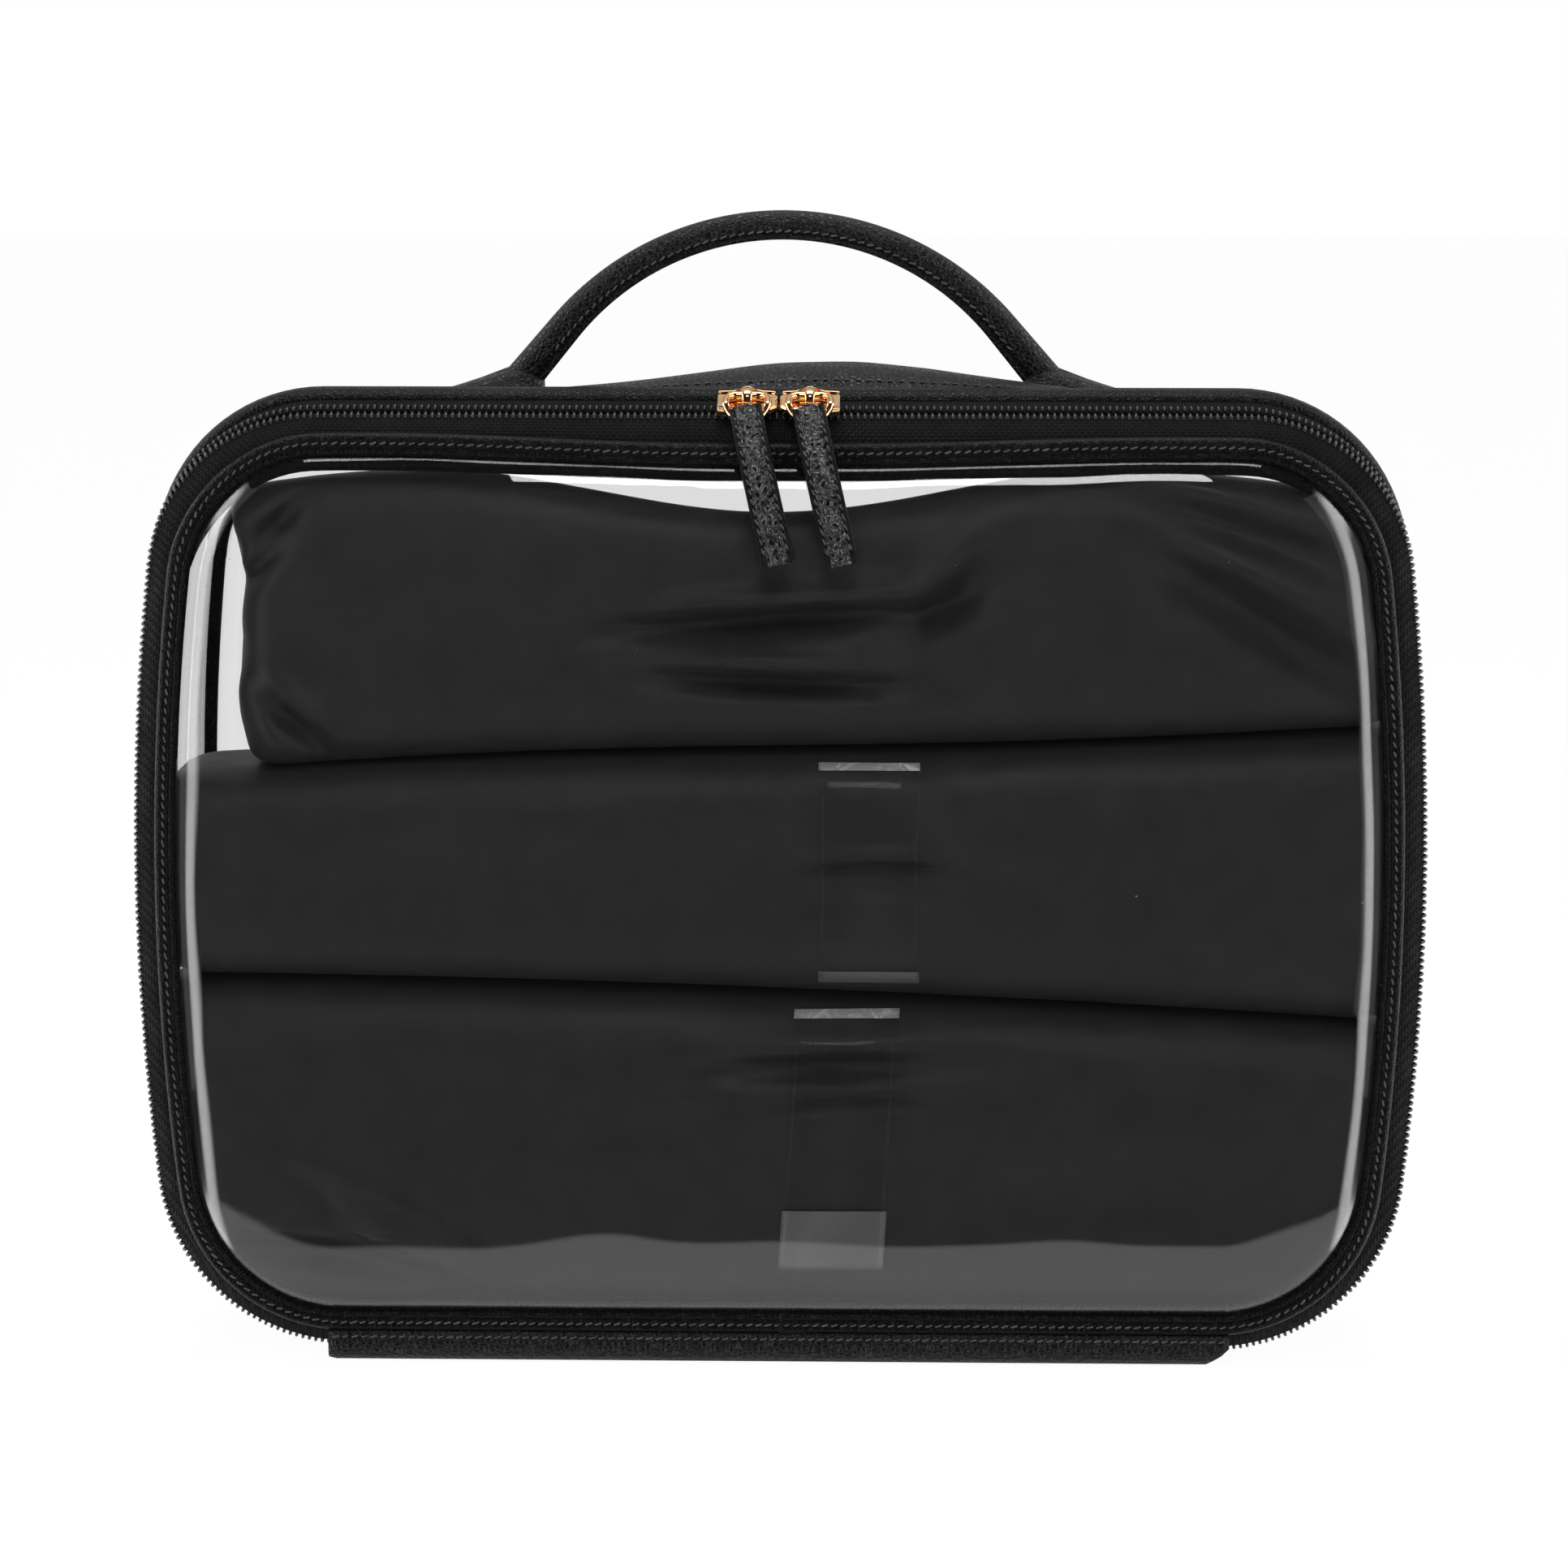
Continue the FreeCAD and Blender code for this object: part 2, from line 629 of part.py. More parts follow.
foot_height = patch_top + s.handle_foot
foot_y = s.front_y + s.handle_y + foot_height * math.sin(slope)
foot_z = top_height + foot_height * math.cos(slope)
leg_angle = math.radians(s.handle_leg.value)
leg_text = f"{s.handle_leg.text} * 1 deg"
leg_sin = Size(math.sin(leg_angle), f"sin({leg_text})")
leg_cos = Size(math.cos(leg_angle), f"cos({leg_text})")
arch_radius = (s.handle_half * leg_sin - s.handle_arch * leg_cos) / (as_size(1) - leg_cos)
leg_length = (s.handle_half - arch_radius * leg_sin) / leg_cos
arch_centre = s.handle_arch - arch_radius


def make_handle(label, rings):
    # A rolled tube: an arc over the top and a straight leg down to each foot
    body = new_body(label)
    sketch = sketch_on(body, "section", "YZ_Plane", flush)
    sketch.setExpression("AttachmentOffset.Base.y", arch_centre.text)
    for radius, sides in rings:
        add_loop(sketch, many_sided(flush, arch_radius, radius, sides))
    doc.recompute()
    arch = feature(body, "Revolution", "arch", sketch)
    arch.ReferenceAxis = (sketch, ["H_Axis"])
    arch.setExpression("Angle", f"2 * {leg_text}")
    arch.Midplane = True
    doc.recompute()
    for name, side in (("left", -1), ("right", 1)):
        knee = sketch_on(body, f"{name}_knee", "YZ_Plane", arch_radius * leg_sin * side)
        turn = FreeCAD.Rotation(FreeCAD.Vector(1, 0, 0), s.handle_leg.value * side)
        knee.AttachmentOffset = FreeCAD.Placement(knee.AttachmentOffset.Base, turn)
        knee.setExpression("AttachmentOffset.Base.y", (arch_centre + arch_radius * leg_cos).text)
        knee.setExpression("AttachmentOffset.Rotation.Angle", f"{(s.handle_leg * side).text} * 1 deg")
        for radius, sides in rings:
            add_loop(knee, many_sided(flush, flush, radius, sides))
        pad(body, f"{name}_leg", knee, leg_length, reverse=side < 0)
    place(body, flush, foot_y, foot_z, FreeCAD.Vector(1, 0, 0), 0, "")


make_handle("handle_grip", [(s.grip_radius, GRIP_SIDES), (s.core_radius, CORE_SIDES)])
make_handle("handle_core", [(s.core_radius - s.seat_gap, CORE_SIDES)])

# Sliders, bails and pulls, drawn flat and leaned forward with the chain

chain_z = s.seam_top + s.tape_side + s.chain_rise + gap_rise / 2
tilt = math.radians(s.slider_tilt.value)
tilt_text = f"{s.slider_tilt.text} * 1 deg"
plate_top = s.slider_top + s.slider_plate
axis_y = s.seat_gap * 2
axis_z = plate_top + s.loop_wire + s.seat_gap * 3.5


def place_on_chain(body):
    place(body, flush, s.front_y + s.chain_y, chain_z, FreeCAD.Vector(1, 0, 0), tilt, tilt_text)


# Plan of a slider from nose to tail: share of its length, share of its half width
SLIDER_PLAN = [(0, 0.6), (0.16, 1), (0.55, 0.93), (1, 0.74)]


def slider_plan(side, front, rear):
    # Tapered nose, swelling shoulders and a blunt tail, front edge first
    nose = s.slider_nose
    lower = [((nose + s.slider_length * reach) * side, -front * wide) for reach, wide in SLIDER_PLAN]
    upper = [((nose + s.slider_length * reach) * side, rear * wide) for reach, wide in SLIDER_PLAN]
    return lower + upper[::-1]


def make_slider(name, side):
    body = new_body(f"{name}_slider_body")
    sketch = sketch_on(body, "top", "XY_Plane", s.slider_top)
    add_loop(sketch, slider_plan(side, s.slider_half, s.slider_half))
    pad(body, "top_plate", sketch, s.slider_plate)
    bevel = s.slider_plate * 0.4
    break_edges(body, "bevel", bevel, at_height(plate_top))
    lean = math.tan(tilt)
    post = s.slider_length / 4
    wedge = sketch_on(body, "wedge", "YZ_Plane", (s.slider_nose + post) * side)
    low = -s.slider_bottom
    high = s.slider_top
    add_loop(wedge, [
        (low * lean - s.wedge_half, low), (low * lean + s.wedge_half, low),
        (high * lean + s.wedge_half, high), (high * lean - s.wedge_half, high)])
    pad(body, "post", wedge, post, reverse=side < 0)
    base = sketch_on(body, "lower", "XY_Plane", low - s.slider_plate)
    add_loop(base, slider_plan(side, s.coil_width, s.wedge_half * 2))
    pad(body, "lower_plate", base, s.slider_plate)
    lip = sketch_on(body, "lip", "XY_Plane", s.slider_top - s.slider_plate)
    edge = [((s.slider_nose + s.slider_length * reach) * side, s.slider_half * -wide)
            for reach, wide in SLIDER_PLAN[-2:]]
    add_loop(lip, edge + [(x, y + bevel) for x, y in edge[::-1]])
    pad(body, "flange", lip, s.slider_plate)
    place_on_chain(body)


def make_bail(name, side):
    body = new_body(f"{name}_slider_bail")
    middle = (s.slider_nose + s.slider_length / 2) * side
    sketch = sketch_on(body, "arch", "YZ_Plane", middle - s.bail_width / 2)
    half = s.bail_span / 2
    inner = half - s.bail_wire
    roof = plate_top + s.bail_window
    add_loop(sketch, [
        (-half, plate_top), (-inner, plate_top), (-inner, roof), (inner, roof), (inner, plate_top),
        (half, plate_top), (half, roof + s.bail_wire), (-half, roof + s.bail_wire)])
    pad(body, "bridge", sketch, s.bail_width)
    break_edges(body, "crown", s.bail_wire / 2.2, at_height(roof + s.bail_wire))
    place_on_chain(body)


def make_loop(name, side):
    # A wire loop whose rear run lies under the bail and whose front run carries the tab
    body = new_body(f"{name}_pull_loop")
    middle = (s.slider_nose + s.slider_length / 2) * side
    front = axis_y - s.loop_reach
    for kind, grow in (("wire", s.loop_wire), ("eye", -s.loop_wire)):
        sketch = sketch_on(body, kind, "XY_Plane", axis_z - s.loop_wire)
        half = s.loop_half + grow
        corner = s.loop_wire * 1.5 + grow
        add_loop(sketch, bundle(middle - half, middle + half, front - grow, axis_y + grow, corner))
        if kind == "wire":
            pad(body, "ring", sketch, s.loop_wire * 2)
        else:
            pocket(body, "hole", sketch, s.loop_wire * 2, reverse=True)
    for rim, level in (("under", axis_z - s.loop_wire), ("over", axis_z + s.loop_wire)):
        break_edges(body, rim, s.loop_wire * 0.6, at_height(level))
    place_on_chain(body)


hem_y = (axis_y - s.loop_reach) * math.cos(tilt) - axis_z * math.sin(tilt)
hem_z = (axis_y - s.loop_reach) * math.sin(tilt) + axis_z * math.cos(tilt)


def make_tab(name, side):
    # A stitched leather tab: hem round the loop, a knee over the frame, then down the window
    blank = new_body(f"{name}_tab_blank")
    pieces.remove(blank)
    edge = -s.tab_width / 2
    strip = sketch_on(blank, "strip", "YZ_Plane", edge)
    half = s.tab_gauge * 0.55
    line = [(flush, flush), (-s.tab_knee_y, -s.tab_knee_z), (-s.tab_end_y, -s.tab_end_z)]
    add_loop(strip, [(y + half, z) for y, z in line] + [(y - half, z) for y, z in line[::-1]])
    pad(blank, "leaf", strip, s.tab_width)
    hem = sketch_on(blank, "hem", "YZ_Plane", edge)
    add_circle(hem, flush, flush, s.tab_hem)
    pad(blank, "roll", hem, s.tab_width)
    middle = (s.slider_nose + s.slider_length / 2) * side
    place(blank, middle, s.front_y + s.chain_y + hem_y, chain_z + hem_z, FreeCAD.Vector(0, -1, 0),
          math.radians(s.tab_lean.value), f"{s.tab_lean.text} * 1 deg")
    bore = doc.addObject("Part::Cylinder", f"{name}_tab_bore")
    bore.setExpression("Radius", (s.loop_wire + s.seat_gap * 2).text)
    bore.setExpression("Height", (s.tab_width * 2).text)
    place(bore, middle - s.tab_width, s.front_y + s.chain_y + hem_y, chain_z + hem_z,
          FreeCAD.Vector(0, 1, 0), math.pi / 2, "90 deg")
    tab = doc.addObject("Part::Cut", f"{name}_pull_tab")
    tab.Label = f"{name}_pull_tab"
    tab.Base = blank
    tab.Tool = bore
    pieces.append(tab)


for name, side in (("left", -1), ("right", 1)):
    make_slider(name, side)
    make_bail(name, side)
    make_loop(name, side)
    make_tab(name, side)

# Nylon rolls behind the window and the clear tape that closes two of them

# Station along a roll, and the share of the drawing-in there
ROLL_SWELL = [(0, 1), (0.14, 0), (0.86, 0), (1, 1)]


def make_roll(label, left, low, high):
    # low and high give the level of the roll's underside and upper side along its length
    body = new_body(label)
    front = s.front_y + s.roll_front
    rear = front + s.roll_depth
    reach = s.roll_half - left
    sketches = []
    for number, (along, share) in enumerate(ROLL_SWELL):
        x = left + reach * along
        sketch = sketch_on(body, f"section{number}", "YZ_Plane", x)
        pull = s.roll_draw * share
        add_loop(sketch, bundle(front + pull, rear - pull, low(x) + pull, high(x) - pull, s.roll_corner))
        sketches.append(sketch)
    loft(body, "AdditiveLoft", "bundle", sketches)


def first_split(x):
    return s.roll_first - x * s.roll_slant


def second_split(x):
    return s.roll_second + x * s.roll_slant


gap = s.roll_split / 2
left_end = -s.roll_half
make_roll("filler_roll_bottom", left_end, lambda x: s.roll_low, lambda x: first_split(x) - gap)
make_roll("filler_roll_middle", left_end, lambda x: first_split(x) + gap, lambda x: second_split(x) - gap)
make_roll("filler_roll_top", left_end + s.roll_short, lambda x: second_split(x) + gap, lambda x: s.roll_high)


def make_tape_strip(label, left, low, high):
    body = new_body(label)
    sketch = upright(body, "strip", s.roll_front - s.strip_film - s.seat_gap)
    add_loop(sketch, rectangle(left, left + s.strip_width, low, high))
    pad(body, "film", sketch, s.strip_film, reverse=True)


strip_margin = s.roll_draw * 0.3
make_tape_strip("tape_strip_middle", s.strip_left, s.roll_first + strip_margin, s.roll_second - strip_margin)
make_tape_strip("tape_strip_bottom", s.strip_left - s.roll_short, s.roll_low + s.roll_draw,
                s.roll_first - strip_margin)

doc.recompute()
broken = [item.Name for item in doc.Objects if "Invalid" in item.State or "Error" in item.State]
if broken:
    raise ValueError(f"features that failed: {broken}")
for piece in pieces:
    if piece.Shape.isNull() or not piece.Shape.isValid() or len(piece.Shape.Solids) != 1:
        raise ValueError(f"{piece.Label} is not one valid solid")

os.makedirs("parts", exist_ok=True)
for piece in pieces:
    piece.Shape.exportStep(os.path.join("parts", f"{piece.Label}.step"))
print(f"{len(pieces)} pieces written")
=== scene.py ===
import math

import bmesh
import bpy
from mathutils import Matrix, Vector, noise
from mathutils.bvhtree import BVHTree


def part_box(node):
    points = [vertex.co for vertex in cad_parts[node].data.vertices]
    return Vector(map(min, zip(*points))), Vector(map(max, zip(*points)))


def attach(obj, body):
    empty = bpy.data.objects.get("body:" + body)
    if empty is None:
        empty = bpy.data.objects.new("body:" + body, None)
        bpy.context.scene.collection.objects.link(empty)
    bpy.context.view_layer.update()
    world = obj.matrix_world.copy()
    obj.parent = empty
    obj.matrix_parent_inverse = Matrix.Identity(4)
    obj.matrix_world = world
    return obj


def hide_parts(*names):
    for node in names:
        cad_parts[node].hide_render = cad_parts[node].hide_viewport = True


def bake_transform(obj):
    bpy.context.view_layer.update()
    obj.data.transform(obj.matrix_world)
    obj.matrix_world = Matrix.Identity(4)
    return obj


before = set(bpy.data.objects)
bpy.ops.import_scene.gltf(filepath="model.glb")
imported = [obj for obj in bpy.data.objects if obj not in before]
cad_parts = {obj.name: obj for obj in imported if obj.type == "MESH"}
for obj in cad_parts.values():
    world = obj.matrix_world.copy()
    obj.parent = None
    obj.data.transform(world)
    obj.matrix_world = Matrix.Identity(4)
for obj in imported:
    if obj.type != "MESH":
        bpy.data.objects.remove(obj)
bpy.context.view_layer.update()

# Clear zip-round train case: soft and sewn pieces are modelled here, in millimetres, around the frame
scene = bpy.context.scene
seamBox = [corner * 1000 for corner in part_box("front_binding")]
case = {
    "front": seamBox[0].y,      # face of the front seam
    "half": seamBox[1].x,       # half width of the front frame
    "top": seamBox[1].z,
    "bottom": seamBox[0].z,
    "topRadius": 30.0,
    "bottomRadius": 34.0,
    "sideBow": 560.0,           # the sides bulge on this radius
}
case["middle"] = (case["top"] + case["bottom"]) / 2
outlineSteps = {"low": 48, "corner": 18, "side": 36, "top": 64}
print("frame loaded:", len(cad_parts), "nodes")


def depthOf(node, end):
    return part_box(node)[end].y * 1000 - case["front"]


def arcPoints(x, z, radius, start, end, steps):
    turns = [start + (end - start) * n / steps for n in range(steps)]
    return [(x + radius * math.cos(a), z + radius * math.sin(a)) for a in turns]


def runPoints(x0, x1, z, steps):
    return [(x0 + (x1 - x0) * n / steps, z) for n in range(steps)]


def caseOutline(side=0.0, top=None, bottom=None):
    # Loop of (x, z) round the case, moved out by side; starts at the left end of the bottom run
    top = side if top is None else top
    half = case["half"] + side
    high = case["top"] + top
    low = case["bottom"] - side if bottom is None else bottom
    bow = case["sideBow"] + side
    topRadius = case["topRadius"] + side
    lowRadius = case["bottomRadius"] + side
    bowX = half - bow
    middle = case["middle"]
    zTop = high - topRadius
    zLow = low + lowRadius
    xTop = bowX + math.sqrt((bow - topRadius) ** 2 - (zTop - middle) ** 2)
    xLow = bowX + math.sqrt((bow - lowRadius) ** 2 - (zLow - middle) ** 2)
    aTop = math.atan2(zTop - middle, xTop - bowX)
    aLow = math.atan2(zLow - middle, xLow - bowX)
    right = arcPoints(xLow, zLow, lowRadius, -math.pi / 2, aLow, outlineSteps["corner"])
    right += arcPoints(bowX, middle, bow, aLow, aTop, outlineSteps["side"])
    right += arcPoints(xTop, zTop, topRadius, aTop, math.pi / 2, outlineSteps["corner"])
    left = [(-x, z) for x, z in right[:0:-1]] + [(-xLow, low)]
    points = runPoints(-xLow, xLow, low, outlineSteps["low"]) + right
    points += runPoints(xTop, -xTop, high, outlineSteps["top"]) + [(-xTop, high)] + left
    return points[:-1]


def openOutline(*shape):
    # The same loop without the bottom run, where the zip stops at the hinge strip
    points = caseOutline(*shape)
    return points[outlineSteps["low"]:] + points[:1]


rightSide = caseOutline()[outlineSteps["low"]:][:2 * outlineSteps["corner"] + outlineSteps["side"] + 1]


def halfWidth(z):
    # Half width of the front frame at a height
    for (x0, z0), (x1, z1) in zip(rightSide, rightSide[1:]):
        if z0 <= z <= z1:
            return x0 + (x1 - x0) * (z - z0) / (z1 - z0)
    return rightSide[0][0] if z < rightSide[0][1] else rightSide[-1][0]


def smoothShare(value, low, high):
    t = min(1.0, max(0.0, (value - low) / (high - low)))
    return t * t * (3 - 2 * t)


bowSize = {
    "lift": (1.9, 1.4),         # left and right
    "rise": (12.0, 80.0),       # from the middle outwards the top run rises, then falls
    "fall": (88.0, 124.0),
    "depth": (2.0, 8.0),        # fades out behind the seam
    "height": (158.0, 184.0),   # fades in towards the top
}


def bowed(p):
    # The soft front panel sags in the middle of its top run and stands up towards the corners
    x, y, z = p
    near = 1 - smoothShare(y - case["front"], *bowSize["depth"])
    humps = smoothShare(abs(x), *bowSize["rise"]) * (1 - smoothShare(abs(x), *bowSize["fall"]))
    lift = bowSize["lift"][0 if x < 0 else 1] * humps * near * smoothShare(z, *bowSize["height"])
    return Vector((x, y, z + lift))


def addObject(name, data):
    added = bpy.data.objects.new(name, data)
    scene.collection.objects.link(added)
    return added


def setSmooth(mesh, smooth=True):
    mesh.polygons.foreach_set("use_smooth", [smooth] * len(mesh.polygons))


def newPiece(name, points, faces, material, smooth=True):
    # A mesh at the origin from points in millimetres, with doubles merged and normals outward
    mesh = bpy.data.meshes.new(name)
    mesh.from_pydata([Vector(p) * 0.001 for p in points], [], faces)
    work = bmesh.new()
    work.from_mesh(mesh)
    bmesh.ops.remove_doubles(work, verts=work.verts, dist=1e-6)
    bmesh.ops.recalc_face_normals(work, faces=work.faces)
    work.to_mesh(mesh)
    work.free()
    setSmooth(mesh, smooth)
    mesh.materials.append(material)
    return addObject(name, mesh)


def loftFaces(rings, count, closedRing, closedLoft):
    # Quads between rings of equal length
    faces = []
    last = rings if closedLoft else rings - 1
    around = count if closedRing else count - 1
    for r in range(last):
        here, after = r * count, (r + 1) % rings * count
        for n in range(around):
            m = (n + 1) % count
            faces.append((here + n, here + m, after + m, after + n))
    return faces


def tubeFaces(total, count):
    # Quads along a tube of rings of count points each, and its two ends
    ends = [tuple(range(count)), tuple(range(total - count, total))[::-1]]
    return loftFaces(total // count, count, True, False) + ends


def tubePiece(name, points, count, material):
    return newPiece(name, points, tubeFaces(len(points), count), material)


def fanFaces(tip, count):
    # Triangles from the last ring to a tip, which is the point after it
    last = tip - count
    return [(last + n, last + (n + 1) % count, tip) for n in range(count)]


def bandPiece(name, profile, material, openBelow=False, wave=None):
    # Sweeps a closed profile of (depth, side, top, bottom) stations round the case
    path = openOutline if openBelow else caseOutline
    rings = []
    for depth, *shape in profile:
        rings.append([(x, case["front"] + depth, z) for x, z in path(*shape)])
    count = len(rings[0])
    points = [Vector(p) for ring in rings for p in ring]
    if wave:
        points = [wave(p) for p in points]
    faces = loftFaces(len(rings), count, not openBelow, True)
    if openBelow:
        faces.append(tuple(r * count for r in range(len(rings))))
        faces.append(tuple(r * count + count - 1 for r in reversed(range(len(rings)))))
    return newPiece(name, points, faces, material)


def shrunk(shape, gauge):
    side, top, bottom = shape
    return (side - gauge, top - gauge, bottom + gauge)


def useModifier(piece, kind, **settings):
    # Adds a modifier and applies it straight away
    modifier = piece.modifiers.new(kind.title(), kind)
    for key, value in settings.items():
        setattr(modifier, key, value)
    return applyModifiers(piece)


def applyModifiers(piece):
    shown = piece.evaluated_get(bpy.context.evaluated_depsgraph_get())
    mesh = bpy.data.meshes.new_from_object(shown)
    piece.modifiers.clear()
    old = piece.data
    piece.data = mesh
    bpy.data.meshes.remove(old)
    return piece


def mountPiece(piece, body, slot, *nodes):
    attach(piece, body)
    if nodes:
        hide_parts(*nodes)
    return piece


# Shader groups shared by the finishes
def addNode(tree, kind, inputs=None, **settings):
    node = tree.nodes.new(kind)
    for key, value in settings.items():
        setattr(node, key, value)
    for key, value in (inputs or {}).items():
        if isinstance(value, bpy.types.NodeSocket):
            tree.links.new(value, node.inputs[key])
        else:
            node.inputs[key].default_value = value
    return node


def mathNode(tree, operation, *values):
    inputs = {n: value for n, value in enumerate(values)}
    return addNode(tree, "ShaderNodeMath", inputs, operation=operation).outputs[0]


def rangeNode(tree, value, low, high, toLow, toHigh):
    inputs = {"Value": value, "From Min": low, "From Max": high, "To Min": toLow, "To Max": toHigh}
    return addNode(tree, "ShaderNodeMapRange", inputs, interpolation_type="SMOOTHSTEP").outputs[0]


def noiseNode(tree, place, scale, detail, **more):
    inputs = {"Vector": place, "Scale": scale, "Detail": detail, **more}
    return addNode(tree, "ShaderNodeTexNoise", inputs).outputs


def mixShaders(tree, factor, first, second):
    inputs = {0: factor, 1: first.outputs[0], 2: second.outputs[0]}
    return addNode(tree, "ShaderNodeMixShader", inputs)


def linkInputs(tree, node, sockets):
    for key, socket in sockets.items():
        tree.links.new(socket, node.inputs[key])


def newGroup(name, sizes, outputs):
    # A shader group with a Vector input, named float inputs and named float outputs
    group = bpy.data.node_groups.new(name, "ShaderNodeTree")
    group.interface.new_socket("Vector", in_out="INPUT", socket_type="NodeSocketVector")
    for key, value in sizes.items():
        socket = group.interface.new_socket(key, in_out="INPUT", socket_type="NodeSocketFloat")
        socket.default_value = value
    for key in outputs:
        group.interface.new_socket(key, in_out="OUTPUT", socket_type="NodeSocketFloat")
    return group, group.nodes.new("NodeGroupInput").outputs, group.nodes.new("NodeGroupOutput")


def buildLeatherGrain():
    # Pebbles of about one cell each with creases between them, and fine pores on top; CreaseShade masks the
    # creases for painted shade
    group, given, out = newGroup("leatherGrain", {"Pebbles": 800.0}, ["Height", "CreaseShade", "Tone"])
    place = given["Vector"]
    warp = noiseNode(group, place, 420.0, 2.0)["Color"]
    push = addNode(group, "ShaderNodeVectorMath", {0: warp, 1: (0.0011,) * 3}, operation="MULTIPLY")
    bent = addNode(group, "ShaderNodeVectorMath", {0: place, 1: push.outputs[0]})
    cells = addNode(group, "ShaderNodeTexVoronoi", {"Vector": bent.outputs[0], "Scale": given["Pebbles"]},
                    feature="DISTANCE_TO_EDGE")
    pebble = rangeNode(group, cells.outputs["Distance"], 0.0, 0.28, 0.0, 1.0)
    fine = mathNode(group, "MULTIPLY", noiseNode(group, place, 3200.0, 3.0)["Fac"], 0.15)
    linkInputs(group, out, {"Height": mathNode(group, "ADD", pebble, fine),
                            "CreaseShade": mathNode(group, "SUBTRACT", 1.0, pebble),
                            "Tone": noiseNode(group, place, 60.0, 4.0)["Fac"]})
    return group


def buildWeave():
    # Plain weave: two crossing sets of threads that pass over and under each other
    group, given, out = newGroup("plainWeave", {"Across": 2200.0, "Along": 2200.0}, ["Height", "Tone"])
    place = addNode(group, "ShaderNodeSeparateXYZ", {0: given["Vector"]}).outputs
    around = mathNode(group, "ADD", place["Y"], place["Z"])
    u = mathNode(group, "MULTIPLY", place["X"], given["Across"])
    v = mathNode(group, "MULTIPLY", around, given["Along"])
    waves = [mathNode(group, "SINE", mathNode(group, "MULTIPLY", t, math.pi)) for t in (u, v)]
    warpThread, weftThread = [mathNode(group, "ABSOLUTE", wave) for wave in waves]
    check = addNode(group, "ShaderNodeTexChecker", {
        "Vector": addNode(group, "ShaderNodeCombineXYZ", {0: u, 1: v}).outputs[0],
        "Scale": 1.0, "Color1": (1, 1, 1, 1), "Color2": (0, 0, 0, 1)})
    over = addNode(group, "ShaderNodeMix", {"Factor": check.outputs["Fac"], "A": warpThread, "B": weftThread})
    slubs = noiseNode(group, given["Vector"], 140.0, 5.0)["Fac"]
    linkInputs(group, out, {"Height": over.outputs[0], "Tone": slubs})
    return group


def buildHandling():
    # Traces of use: soft smears, and a few dust specks
    group, given, out = newGroup("handlingMarks", {"Smears": 14.0, "Specks": 160.0}, ["Smear", "Speck"])
    smears = noiseNode(group, given["Vector"], given["Smears"], 4.0, Distortion=1.2)["Fac"]
    dots = addNode(group, "ShaderNodeTexVoronoi", {"Vector": given["Vector"], "Scale": given["Specks"]})
    rare = addNode(group, "ShaderNodeSeparateColor", {0: dots.outputs["Color"]}).outputs[0]
    small = mathNode(group, "LESS_THAN", dots.outputs["Distance"], 0.02)
    few = mathNode(group, "GREATER_THAN", rare, 0.8)
    linkInputs(group, out, {"Smear": rangeNode(group, smears, 0.45, 0.75, 0.0, 1.0),
                            "Speck": mathNode(group, "MULTIPLY", small, few)})
    return group


leatherGrain = buildLeatherGrain()
plainWeave = buildWeave()
handlingMarks = buildHandling()


# Finishes
def newFinish(name, **constants):
    material = bpy.data.materials.new(name)
    material.use_nodes = True
    tree = material.node_tree
    shader = tree.nodes["Principled BSDF"]
    for key, value in constants.items():
        shader.inputs[key.replace("_", " ")].default_value = value
    place = addNode(tree, "ShaderNodeTexCoord").outputs["Object"]
    return material, tree, shader, place


def useGroup(tree, group, place, **sizes):
    node = addNode(tree, "ShaderNodeGroup", node_tree=group)
    tree.links.new(place, node.inputs["Vector"])
    for key, value in sizes.items():
        node.inputs[key].default_value = value
    return node.outputs


def mixColour(tree, factor, a, b):
    node = addNode(tree, "ShaderNodeMix", data_type="RGBA")
    colours = [socket for socket in node.inputs if socket.type == "RGBA"]
    for socket, value in zip(colours, (a, b)):
        if isinstance(value, bpy.types.NodeSocket):
            tree.links.new(value, socket)
        else:
            socket.default_value = (*value, 1.0)
    tree.links.new(factor, node.inputs[0])
    return [socket for socket in node.outputs if socket.type == "RGBA"][0]


def addBump(tree, shader, height, distance, strength=1.0, normal=None):
    inputs = {"Height": height, "Distance": distance, "Strength": strength}
    if normal:
        inputs["Normal"] = normal
    bump = addNode(tree, "ShaderNodeBump", inputs)
    tree.links.new(bump.outputs[0], shader.inputs["Normal"])
    return bump.outputs[0]


def leatherFinish(name, pebbles, depth, dark, light, roughLow, roughHigh, shine):
    # Black grained leather: random tone, with painted shade darkening the creases; pebble tops polished
    material, tree, shader, place = newFinish(name, Specular_IOR_Level=shine)
    grain = useGroup(tree, leatherGrain, place, Pebbles=pebbles)
    # Painted shade: the random tone is darkened in the creases between pebbles
    toneAndCreaseShade = mathNode(tree, "MULTIPLY", grain["Tone"], mathNode(tree, "SUBTRACT", 1.0, grain["CreaseShade"]))
    worn = rangeNode(tree, grain["Height"], 0.2, 1.3, roughHigh, roughLow)
    linkInputs(tree, shader, {"Base Color": mixColour(tree, toneAndCreaseShade, dark, light), "Roughness": worn})
    addBump(tree, shader, grain["Height"], depth)
    return material


def wovenFinish(name, shine, across, along, mixBy, dark, light, roughLow, roughHigh, depth, strength):
    # mixBy is the output of the weave that goes from dark to light; Height gives painted shade between the
    # threads and a painted highlight on their crowns
    material, tree, shader, place = newFinish(name, Specular_IOR_Level=shine)
    weave = useGroup(tree, plainWeave, place, Across=across, Along=along)
    rough = rangeNode(tree, weave["Tone"], 0.3, 0.7, roughLow, roughHigh)
    linkInputs(tree, shader, {"Base Color": mixColour(tree, weave[mixBy], dark, light), "Roughness": rough})
    addBump(tree, shader, weave["Height"], depth, strength)
    return material


